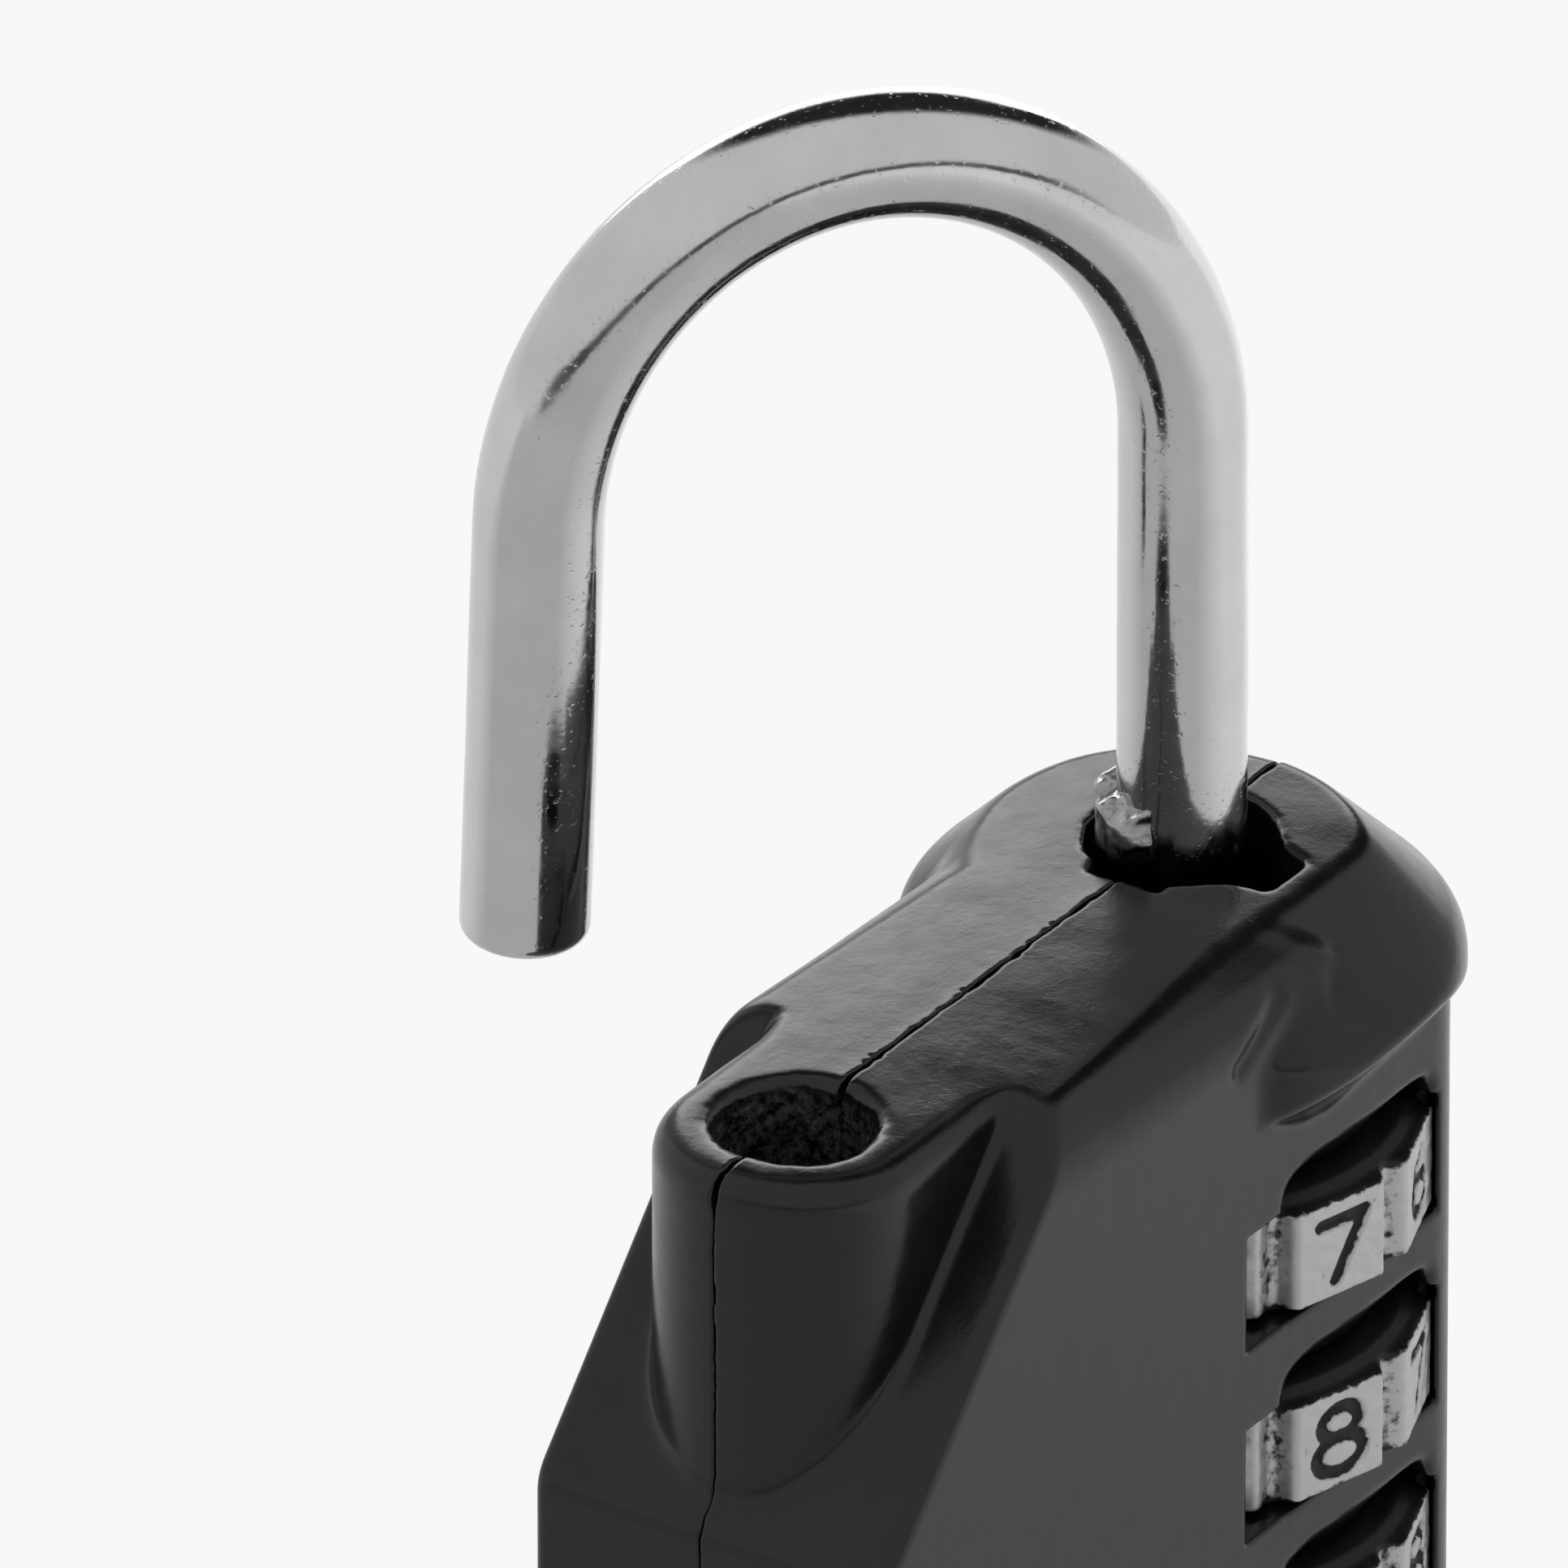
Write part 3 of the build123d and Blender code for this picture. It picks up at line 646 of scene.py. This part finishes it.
def make_dial(number, material, noise):
    """Dial wheel: engraved rim, chamfered faces and a plain bore."""
    height, radius, silver = dial_skin(FIRST_DIGITS[number], noise, DIAL_SEED_SHIFT * number)
    around, rows = radius.shape
    turned = np.linspace(0, 2 * pi, around, endpoint=False) + radians(DIAL_REST_ANGLE)
    foot, head = -DIAL_BELOW, DIAL_HEIGHT / 2
    bore = np.full(around, DIAL_BORE)
    rings = [(bore, foot + BORE_CHAMFER), (bore + BORE_CHAMFER, foot)]
    rings.append((np.minimum(radius[:, 0], DIAL_RIM_RADIUS) - RIM_CHAMFER, foot))
    for row in range(rows):
        rings.append((radius[:, row], min(max(height[row], foot + RIM_INSET), head - RIM_INSET)))
    rings.append((np.minimum(radius[:, -1], DIAL_RIM_RADIUS) - RIM_CHAMFER, head))
    rings += [(bore + BORE_CHAMFER, head), (bore, head - BORE_CHAMFER)]
    middle = dial_middle(number)
    points = np.concatenate([
        np.stack([HEEL_X + r * np.cos(turned), r * np.sin(turned), np.full(around, middle + z)], 1)
        for r, z in rings
    ])
    count = len(rings)
    low = np.arange(around)
    high = (low + 1) % around
    faces = []
    for ring in range(count):
        a, b = ring * around, (ring + 1) % count * around
        faces.append(np.stack([a + low, a + high, b + high, b + low], 1))
    obj = mesh_object(f"dial_{number + 1}_rim", points, np.concatenate(faces))
    cover = np.zeros(len(points), np.float32)
    cover[3 * around : (3 + rows) * around] = silver.T.ravel()
    attribute = obj.data.attributes.new("silver", "FLOAT", "POINT")
    attribute.data.foreach_set("value", cover)
    obj.data.materials.append(material)
    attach(obj, f"dial_{number + 1}")
    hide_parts(f"dial_wheel_{number + 1}")


# ---------------------------------------------------------------- shackle
ROD_RADIUS = 3.0
ROD_SIDES = 64
SWING = radians(37.4)           # of the short leg's plane from the toe socket
SPLAY = radians(2.0)            # of the short leg from upright
BOW_SPAN = 30.8
BOW_RISE = 16.9
LEG_TOP = TOP + 21.2
TOE_END = TOP + 0.4
TOE_ROUNDING = 0.8
HEEL_END = 15.2
HEEL_CHAMFER = 0.3
ROD_FINE = (0.012, 2.5)         # (height, feature size) of each layer of unevenness
ROD_BROAD = (0.02, 7.0)

EAR_REACH = 4.15                # of the ears from the heel leg's axis
EAR_ROOT = 2.2                  # where they start inside the rod
KEY_EAR_HALF = 2.2
KEY_EAR_SHORT = 0.15
KEY_EAR_HEAD = ((2.0, TOP + 2.9), (4.4, TOP + 1.7))     # (outwards, height) of its sloping faces
KEY_EAR_FOOT = ((2.0, TOP), (4.4, TOP - 0.3))
CRUMPLE_BROAD = (0.30, 1.0)
CRUMPLE_FINE = (0.16, 0.5)
LOCK_EARS = (46.15, 35.95, 25.75, 15.55)                # heights of their feet
LOCK_EAR_HALF = 1.0
LOCK_EAR_HEIGHT = 2.0
LOCK_EAR_STEP = 0.12

SPRING_RADIUS = 2.45            # to the wire's middle
SPRING_WIRE = 0.45
SPRING_WIRE_SIDES = 12
SPRING_TURNS = 5
SPRING_STEPS = 48               # to a turn
SPRING_FOOT = 1.8
SPRING_TOP = 14.35


def shackle_path():
    """Points and directions of the rod's middle line in its own plane, outwards from the heel leg."""
    half = BOW_SPAN / 2
    line = [((0.0, z), (0.0, 1.0)) for z in np.linspace(HEEL_END + HEEL_CHAMFER, LEG_TOP, 60)[:-1]]
    last = pi - atan(tan(SPLAY) * BOW_RISE / half)
    for t in np.linspace(0, last, 72):
        place = (half - half * cos(t), LEG_TOP + BOW_RISE * sin(t))
        line.append((place, (half * sin(t), BOW_RISE * cos(t))))
    start, slope = line[-1]
    length = (start[1] - TOE_END) / cos(SPLAY)
    for s in np.linspace(0, length - TOE_ROUNDING, 24)[1:]:
        line.append(((start[0] + s * sin(SPLAY), start[1] - s * cos(SPLAY)), slope))
    return line, (start[0] + length * sin(SPLAY), TOE_END)


def rod_ring(place, slope, radius):
    """Circle of points round a place on the path, square to the slope there."""
    turn = np.linspace(0, 2 * pi, ROD_SIDES, endpoint=False)
    size = (slope[0] ** 2 + slope[1] ** 2) ** 0.5
    out = (slope[1] / size, -slope[0] / size)
    u = place[0] + radius * np.cos(turn) * out[0]
    z = place[1] + radius * np.cos(turn) * out[1]
    return np.stack([u, radius * np.sin(turn), z], 1)


def make_shackle(chrome):
    """Polished rod: rings of points along the path, closed with a chamfered and a rounded end."""
    line, toe_end = shackle_path()
    rings = [rod_ring((0, HEEL_END), (0, 1), ROD_RADIUS - HEEL_CHAMFER)]
    rings += [rod_ring(place, slope, ROD_RADIUS) for place, slope in line]
    slope = (sin(SPLAY), -cos(SPLAY))
    steps = 8
    for step in range(1, steps + 1):
        a = step / steps * pi / 2
        back = TOE_ROUNDING * (1 - sin(a))
        place = (toe_end[0] - slope[0] * back, toe_end[1] - slope[1] * back)
        rings.append(rod_ring(place, slope, ROD_RADIUS - TOE_ROUNDING + TOE_ROUNDING * cos(a)))
    points = np.concatenate(rings)
    noise = Noise(11)
    dent = layer(noise, *points.T, ROD_FINE) + layer(noise, *points.T, ROD_BROAD)
    centre = np.repeat([ring.mean(0) for ring in rings], ROD_SIDES, 0)
    outward = points - centre
    points = points + outward / np.linalg.norm(outward, axis=1)[:, None] * dent[:, None]
    obj = mesh_object("shackle_rod", from_shackle_plane(points), tube_faces(len(rings), ROD_SIDES))
    obj.data.materials.append(chrome)
    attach(obj, "shackle")
    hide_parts("shackle")


def tube_faces(count, sides):
    """Quads between rings of points that follow on from each other, and a face over each end."""
    low = np.arange(sides)
    high = (low + 1) % sides
    faces = []
    for ring in range(count - 1):
        a, b = ring * sides, (ring + 1) * sides
        faces.extend(np.stack([a + low, a + high, b + high, b + low], 1).tolist())
    faces.append(list(low[::-1]))
    faces.append(list(low + (count - 1) * sides))
    return faces


def from_shackle_plane(points):
    """Turns (outwards, sideways, height) of the shackle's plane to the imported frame, in mm."""
    out, side, height = np.asarray(points).T
    heading = pi - SWING
    x = HEEL_X + out * cos(heading) - side * sin(heading)
    y = out * sin(heading) + side * cos(heading)
    return np.stack([x, y, height], 1)


def ear_piece(name, solid, grid, material):
    """Ear on the heel leg, from a solid in the shackle's plane."""
    points, quads = surface(solid, *(spaced([stretch]) for stretch in grid))
    obj = mesh_object(name, from_shackle_plane(points), quads)
    obj.data.materials.append(material)
    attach(obj, "shackle")


def make_ears(chrome):
    """Crumpled staked ear above the heel hole, and the small lock ears inside."""
    noise = Noise(21)

    def staked(u, w, z):
        rough = layer(noise, u, w, z, CRUMPLE_BROAD) + layer(noise, u, w + 7, z, CRUMPLE_FINE)
        reach = np.hypot(u, w) - EAR_REACH + KEY_EAR_SHORT + 0.3 * rough
        sides = slab(w, -KEY_EAR_HALF, KEY_EAR_HALF) + rough
        head = below_line(u, z, *KEY_EAR_HEAD) + rough
        foot = -below_line(u, z, *KEY_EAR_FOOT)
        return both(every([reach, sides, head, foot], 0.25), EAR_ROOT - u)

    step = 0.08
    grid = [(1.9, 4.7, step), (-2.9, 2.9, step), (TOP - 1.4, TOP + 3.8, step)]
    ear_piece("key_ear", staked, grid, metal_material("staked_metal", grey(0.10), grey(0.55), 0.14, 0.8))
    for index, foot in enumerate(LOCK_EARS):
        head = foot + LOCK_EAR_HEIGHT

        def lock_ear(u, w, z, foot=foot, head=head):
            sides = slab(w, -LOCK_EAR_HALF, LOCK_EAR_HALF)
            return both(every([np.hypot(u, w) - EAR_REACH, sides, slab(z, foot, head)], 0.15), EAR_ROOT - u)

        step = LOCK_EAR_STEP
        grid = [(1.9, 4.5, step), (-1.4, 1.4, step), (foot - 0.3, head + 0.3, step)]
        ear_piece(f"lock_ear_{index + 1}", lock_ear, grid, chrome)


def make_spring():
    """Coil under the heel leg, a piece of its own."""
    wire = SPRING_WIRE / 2
    length = SPRING_TOP - SPRING_FOOT
    around = np.linspace(0, 2 * pi, SPRING_WIRE_SIDES, endpoint=False)
    out = SPRING_RADIUS + wire * np.cos(around)
    count = SPRING_TURNS * SPRING_STEPS
    rings = []
    for step in range(count + 1):
        turned = 2 * pi * SPRING_TURNS * step / count
        z = SPRING_FOOT + wire + (length - SPRING_WIRE) * step / count + wire * np.sin(around)
        rings.append(np.stack([HEEL_X + out * cos(turned), out * sin(turned), z], 1))
    faces = [face[::-1] for face in tube_faces(len(rings), SPRING_WIRE_SIDES)]
    obj = mesh_object("shackle_coil", np.concatenate(rings), faces)
    obj.data.materials.append(metal_material("coil_steel", grey(0.3), grey(0.45), 0.3, 1.0))
    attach(obj, "lifter")
    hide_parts("shackle_spring")
    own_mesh(obj)


# ---------------------------------------------------------------- materials
class Nodes:
    """Node tree of a new material, with helpers that add to it."""

    def __init__(self, name):
        self.material = bpy.data.materials.new(name)
        self.material.use_nodes = True
        self.tree = self.material.node_tree
        self.shader = self.tree.nodes["Principled BSDF"]
        self.where = self.tree.nodes.new("ShaderNodeTexCoord").outputs["Object"]

    def add(self, kind, **values):
        """Node whose inputs, or else settings, have these values."""
        node = self.tree.nodes.new(kind)
        for key, value in values.items():
            if key in node.inputs:
                node.inputs[key].default_value = value
            else:
                setattr(node, key, value)
        return node

    def link(self, source, target):
        self.tree.links.new(source, target)

    def noise(self, size, detail=3.0, rough=0.55):
        """Noise whose features are about size mm."""
        node = self.add("ShaderNodeTexNoise", Scale=1000.0 / size, Detail=detail, Roughness=rough)
        self.link(self.where, node.inputs["Vector"])
        return node.outputs["Fac"]

    def remap(self, source, low, high, to_low, to_high):
        node = self.add("ShaderNodeMapRange")
        for index, value in enumerate((low, high, to_low, to_high)):
            node.inputs[index + 1].default_value = value
        self.link(source, node.inputs[0])
        return node.outputs[0]

    def bump(self, source, depth, strength=1.0, after=None):
        """Bump with a depth in mm."""
        node = self.add("ShaderNodeBump", Strength=strength, Distance=depth * MM)
        self.link(source, node.inputs["Height"])
        if after is not None:
            self.link(after, node.inputs["Normal"])
        return node.outputs["Normal"]

    def blend(self, factor, first, second):
        node = self.add("ShaderNodeMix", data_type="RGBA")
        self.link(factor, node.inputs["Factor"])
        node.inputs[6].default_value = first
        node.inputs[7].default_value = second
        return node.outputs[2]


def grey(value):
    return (value, value, value, 1.0)


BARE_RADIUS = 3.95              # the toe socket's wall is thinly painted within this of its axis
BARE_DROP = 1.3                 # and from this far below the top
WRINKLE_DROP = 1.2              # the top's paint is wrinkled down to here


def paint_material():
    """Semi-gloss black paint over a rough casting, thin and pitted inside the toe socket."""
    n = Nodes("black_paint")
    split = n.add("ShaderNodeSeparateXYZ")
    n.link(n.where, split.inputs[0])
    from_axis = n.add("ShaderNodeVectorMath", operation="DISTANCE")
    flat = n.add("ShaderNodeCombineXYZ")
    n.link(split.outputs["X"], flat.inputs[0])
    n.link(split.outputs["Y"], flat.inputs[1])
    n.link(flat.outputs[0], from_axis.inputs[0])
    from_axis.inputs[1].default_value = (TOE_X * MM, 0, 0)
    near = n.remap(from_axis.outputs["Value"], BARE_RADIUS * MM, (BARE_RADIUS + 0.2) * MM, 1.0, 0.0)
    below = n.remap(split.outputs["Z"], (TOP - BARE_DROP) * MM, (TOP - BARE_DROP + 0.8) * MM, 1.0, 0.0)
    inside = n.add("ShaderNodeMath", operation="MULTIPLY")
    n.link(near, inside.inputs[0])
    n.link(below, inside.inputs[1])
    coat = n.blend(n.noise(3.0), grey(0.002), grey(0.006))
    bare = n.blend(n.remap(n.noise(0.5, 5.0, 0.7), 0.42, 0.70, 0.0, 1.0), grey(0.004), grey(0.09))
    colour = n.add("ShaderNodeMix", data_type="RGBA")
    n.link(inside.outputs[0], colour.inputs["Factor"])
    n.link(coat, colour.inputs[6])
    n.link(bare, colour.inputs[7])
    n.link(colour.outputs[2], n.shader.inputs["Base Color"])
    n.link(n.remap(n.noise(1.2), 0.3, 0.7, 0.19, 0.27), n.shader.inputs["Roughness"])
    n.shader.inputs["IOR"].default_value = 1.43
    on_top = n.remap(split.outputs["Z"], (TOP - WRINKLE_DROP) * MM, (TOP - 0.6) * MM, 0.0, 1.0)
    crease = n.remap(n.noise(1.3, 4.0), 0.60, 0.62, 0.0, 1.0)
    wrinkle = n.add("ShaderNodeMath", operation="MULTIPLY")
    n.link(on_top, wrinkle.inputs[0])
    n.link(crease, wrinkle.inputs[1])
    peel = n.bump(n.noise(1.6, 2.0), 0.020)
    folds = n.bump(wrinkle.outputs[0], 0.0025, after=peel)
    grain = n.bump(n.noise(0.22, 2.0), 0.006, after=folds)
    n.link(grain, n.shader.inputs["Normal"])
    return n.material


def chrome_material():
    """Polished plating, slightly wavy and finely pitted."""
    n = Nodes("shackle_plating")
    n.shader.inputs["Metallic"].default_value = 1.0
    n.link(n.blend(n.noise(4.0), grey(0.50), grey(0.64)), n.shader.inputs["Base Color"])
    n.link(n.remap(n.noise(1.5, 4.0), 0.3, 0.75, 0.08, 0.17), n.shader.inputs["Roughness"])
    wave = n.bump(n.noise(2.2, 3.0), 0.016)
    pits = n.bump(n.remap(n.noise(0.3, 3.0), 0.62, 0.75, 0.0, -1.0), 0.008, after=wave)
    n.link(pits, n.shader.inputs["Normal"])
    return n.material


def dial_material():
    """Silver foil where the mesh carries it, black plastic elsewhere; the mesh carries less silver down the
    valleys beside the plates, which is painted shade.
    """
    n = Nodes("dial_foil")
    cover = n.add("ShaderNodeAttribute", attribute_name="silver").outputs["Fac"]
    total = n.add("ShaderNodeMath", operation="ADD")
    n.link(cover, total.inputs[0])
    n.link(n.remap(n.noise(0.5, 5.0), 0.3, 0.7, -0.26, 0.26), total.inputs[1])
    sharp = n.remap(total.outputs[0], 0.34, 0.62, 0.0, 1.0)
    n.link(n.blend(sharp, grey(0.006), grey(0.47)), n.shader.inputs["Base Color"])
    n.link(n.remap(sharp, 0, 1, 0.0, 0.85), n.shader.inputs["Metallic"])
    n.shader.inputs["IOR"].default_value = 1.35
    n.link(n.remap(n.noise(0.4), 0.3, 0.7, 0.32, 0.5), n.shader.inputs["Roughness"])
    n.link(n.bump(n.noise(0.35, 3.0), 0.012), n.shader.inputs["Normal"])
    return n.material


def metal_material(name, dark, light, rough, wave):
    """Bare metal between two colours, with unevenness about wave mm across."""
    n = Nodes(name)
    n.shader.inputs["Metallic"].default_value = 1.0
    n.link(n.blend(n.noise(wave), dark, light), n.shader.inputs["Base Color"])
    n.link(n.remap(n.noise(wave / 2), 0.3, 0.7, rough, rough + 0.15), n.shader.inputs["Roughness"])
    n.link(n.bump(n.noise(wave / 4), 0.01), n.shader.inputs["Normal"])
    return n.material


def dress_cad_nodes():
    """Materials for the inner pieces that keep their CAD shape."""
    steel = metal_material("turned_steel", grey(0.42), grey(0.6), 0.25, 1.5)
    spring = metal_material("spring_steel", grey(0.3), grey(0.45), 0.3, 1.0)
    brass = metal_material("sleeve_brass", (0.55, 0.38, 0.14, 1), (0.72, 0.52, 0.22, 1), 0.28, 1.5)
    choice = {"steel": steel, "spring_steel": spring, "sleeve_brass": brass}
    slots = {row["node"]: row["material_slot"] for row in frame["record"]["subparts"]}
    for name, obj in frame["nodes"].items():
        if slots[name] in choice:
            obj.data.materials.clear()
            obj.data.materials.append(choice[slots[name]])


# ---------------------------------------------------------------- camera, light, floor
VIEW_AZIMUTH = radians(-55.6)
VIEW_ELEVATION = radians(30.0)
CAMERA_DISTANCE = 2.4           # metres
FIELD_WIDTH = 71.5556           # mm seen across the picture at the lock
AIM_LEFT = 18.15                # mm from the head of the heel axis to the picture's middle
AIM_UP = 2.19
SENSOR = 36.0


def make_camera():
    """Long lens from the toe side in front, looking down on the shoulder."""
    azimuth, elevation = VIEW_AZIMUTH, VIEW_ELEVATION
    right = Vector((cos(azimuth), sin(azimuth), 0))
    forward = Vector((-sin(azimuth) * cos(elevation), cos(azimuth) * cos(elevation), -sin(elevation)))
    up = right.cross(forward)
    aim = (Vector((HEEL_X, 0, TOP)) - right * AIM_LEFT + up * AIM_UP) * MM
    camera = bpy.data.objects.new("camera", bpy.data.cameras.new("camera"))
    camera.data.sensor_width = SENSOR
    camera.data.lens = SENSOR * CAMERA_DISTANCE / (FIELD_WIDTH * MM)
    camera.data.clip_end = 10.0
    camera.location = aim - forward * CAMERA_DISTANCE
    camera.rotation_euler = forward.to_track_quat("-Z", "Y").to_euler()
    bpy.context.scene.collection.objects.link(camera)
    bpy.context.scene.camera = camera


def direction(azimuth, elevation, distance):
    """Point at an azimuth from +X and an elevation, in degrees."""
    a, e = radians(azimuth), radians(elevation)
    return Vector((cos(a) * cos(e), sin(a) * cos(e), sin(e))) * distance


CURTAIN = (24, 37)              # azimuth and elevation of its middle
CURTAIN_RADII = (29, 40)        # degrees from there within which it is dark, and outside which it is gone
CURTAIN_LEFT = 0.03
SKIRTING = (222, 0)
SKIRTING_RADII = (44, 62)
SKIRTING_RISE = 0.03            # height of its middle, and of its edges from there, as sines
SKIRTING_EDGES = (0.04, 0.09)
SKIRTING_DARK = 0.9
STUDIO_LEVEL = 0.78


def make_light():
    """Pale studio all round, with a dark curtain behind and a thin dark skirting on the camera's side."""
    world = bpy.data.worlds.new("studio")
    bpy.context.scene.world = world
    world.use_nodes = True
    tree = world.node_tree

    def node(kind, **values):
        made = tree.nodes.new(kind)
        for key, value in values.items():
            setattr(made, key, value)
        return made

    def shade(source, low, high, to_low, to_high):
        made = node("ShaderNodeMapRange", interpolation_type="SMOOTHSTEP")
        for index, value in enumerate((low, high, to_low, to_high)):
            made.inputs[index + 1].default_value = value
        tree.links.new(source, made.inputs[0])
        return made.outputs[0]

    def multiply(a, b):
        made = node("ShaderNodeMath", operation="MULTIPLY")
        tree.links.new(a, made.inputs[0])
        tree.links.new(b, made.inputs[1])
        return made.outputs[0]

    heading = node("ShaderNodeTexCoord").outputs["Generated"]
    toward = node("ShaderNodeVectorMath", operation="DOT_PRODUCT")
    tree.links.new(heading, toward.inputs[0])
    toward.inputs[1].default_value = direction(*CURTAIN, 1.0)
    inner, outer = (cos(radians(angle)) for angle in CURTAIN_RADII)
    curtain = shade(toward.outputs["Value"], outer, inner, 1.0, CURTAIN_LEFT)
    split = node("ShaderNodeSeparateXYZ")
    tree.links.new(heading, split.inputs[0])
    offset = node("ShaderNodeMath", operation="ADD")
    tree.links.new(split.outputs["Z"], offset.inputs[0])
    offset.inputs[1].default_value = -SKIRTING_RISE
    size = node("ShaderNodeMath", operation="ABSOLUTE")
    tree.links.new(offset.outputs[0], size.inputs[0])
    ahead = node("ShaderNodeVectorMath", operation="DOT_PRODUCT")
    tree.links.new(heading, ahead.inputs[0])
    ahead.inputs[1].default_value = direction(*SKIRTING, 1.0)
    inner, outer = (cos(radians(angle)) for angle in SKIRTING_RADII)
    in_front = shade(ahead.outputs["Value"], outer, inner, 0.0, SKIRTING_DARK)
    dark = multiply(shade(size.outputs[0], *SKIRTING_EDGES, 1.0, 0.0), in_front)
    keep = node("ShaderNodeMath", operation="SUBTRACT")
    keep.inputs[0].default_value = 1.0
    tree.links.new(dark, keep.inputs[1])
    skirting = keep.outputs[0]
    background = tree.nodes["Background"]
    background.inputs["Color"].default_value = grey(1.0)
    level = node("ShaderNodeMath", operation="MULTIPLY")
    tree.links.new(multiply(curtain, skirting), level.inputs[0])
    level.inputs[1].default_value = STUDIO_LEVEL
    tree.links.new(level.outputs[0], background.inputs["Strength"])


def unseen(obj):
    """Keep a lighting prop out of the picture and out of shadows; only shiny surfaces see it."""
    obj.visible_camera = False
    obj.visible_shadow = False
    obj.visible_diffuse = False
    obj.visible_transmission = False


PANEL_AZIMUTH = 41
PANEL_DISTANCE = 0.125          # metres, as are its middle and size
PANEL_MIDDLE = (0.01, 0, 0.122)
PANEL_SIZE = (0.13, 0.075, 1)


def rear_panel():
    """Bright panel close behind, fading towards its top edge, that lights the rear half of the top."""
    bpy.ops.mesh.primitive_plane_add(size=1)
    panel = bpy.context.object
    panel.name = "rear_panel"
    panel.scale = PANEL_SIZE
    panel.location = Vector(PANEL_MIDDLE) + direction(PANEL_AZIMUTH, 0, PANEL_DISTANCE)
    panel.rotation_euler = direction(PANEL_AZIMUTH, 0, 1).to_track_quat("-Z", "Y").to_euler()
    n = Nodes("rear_panel")
    split = n.add("ShaderNodeSeparateXYZ")
    n.link(n.where, split.inputs[0])
    n.shader.inputs["Base Color"].default_value = grey(0.0)
    n.shader.inputs["Specular IOR Level"].default_value = 0.0
    n.shader.inputs["Emission Color"].default_value = grey(1.0)
    n.link(n.remap(split.outputs["Y"], 0.0, 0.45, 3.3, 0.1), n.shader.inputs["Emission Strength"])
    panel.data.materials.append(n.material)
    unseen(panel)


STAGE_SIZE = 6                  # metres
FLOOR_GLOW = 0.875


def reflected_floor():
    """What the glossy surfaces see of the floor: duller in front, brighter off to the right."""
    bpy.ops.mesh.primitive_plane_add(size=STAGE_SIZE)
    plane = bpy.context.object
    plane.name = "floor_as_reflected"
    plane.location.z = 0.0002
    n = Nodes("floor_as_reflected")
    split = n.add("ShaderNodeSeparateXYZ")
    n.link(n.where, split.inputs[0])

    def reach(azimuth, low, high, to_low, to_high):
        a = radians(azimuth)
        east = n.add("ShaderNodeMath", operation="MULTIPLY")
        n.link(split.outputs["X"], east.inputs[0])
        east.inputs[1].default_value = cos(a)
        north = n.add("ShaderNodeMath", operation="MULTIPLY_ADD")
        n.link(split.outputs["Y"], north.inputs[0])
        north.inputs[1].default_value = sin(a)
        n.link(east.outputs[0], north.inputs[2])
        return n.remap(north.outputs[0], low, high, to_low, to_high)

    total = n.add("ShaderNodeMath", operation="ADD")
    n.link(reach(-34, 0.02, 0.12, 0.6, 0.95), total.inputs[0])
    n.link(reach(60, 0.03, 0.10, 0.0, 0.25), total.inputs[1])
    n.shader.inputs["Base Color"].default_value = grey(0.0)
    n.shader.inputs["Specular IOR Level"].default_value = 0.0
    n.shader.inputs["Emission Color"].default_value = grey(1.0)
    n.link(total.outputs[0], n.shader.inputs["Emission Strength"])
    plane.data.materials.append(n.material)
    unseen(plane)


def make_floor():
    bpy.ops.mesh.primitive_plane_add(size=STAGE_SIZE)
    floor = bpy.context.object
    floor.name = "floor"
    material = bpy.data.materials.new("pale_floor")
    material.use_nodes = True
    shader = material.node_tree.nodes["Principled BSDF"]
    shader.inputs["Base Color"].default_value = grey(0.1)
    shader.inputs["Roughness"].default_value = 1.0
    shader.inputs["Specular IOR Level"].default_value = 0.0
    shader.inputs["Emission Color"].default_value = grey(1.0)
    shader.inputs["Emission Strength"].default_value = FLOOR_GLOW
    floor.data.materials.append(material)


# ---------------------------------------------------------------- build
make_camera()
make_light()
rear_panel()
make_floor()
reflected_floor()
make_housings(paint_material())
plating = chrome_material()
make_shackle(plating)
make_ears(plating)
make_spring()
foil = dial_material()
foil_noise = Noise(31)
for dial_number in range(DIAL_COUNT):
    make_dial(dial_number, foil, foil_noise)
dress_cad_nodes()
bpy.context.scene.view_settings.view_transform = "Standard"
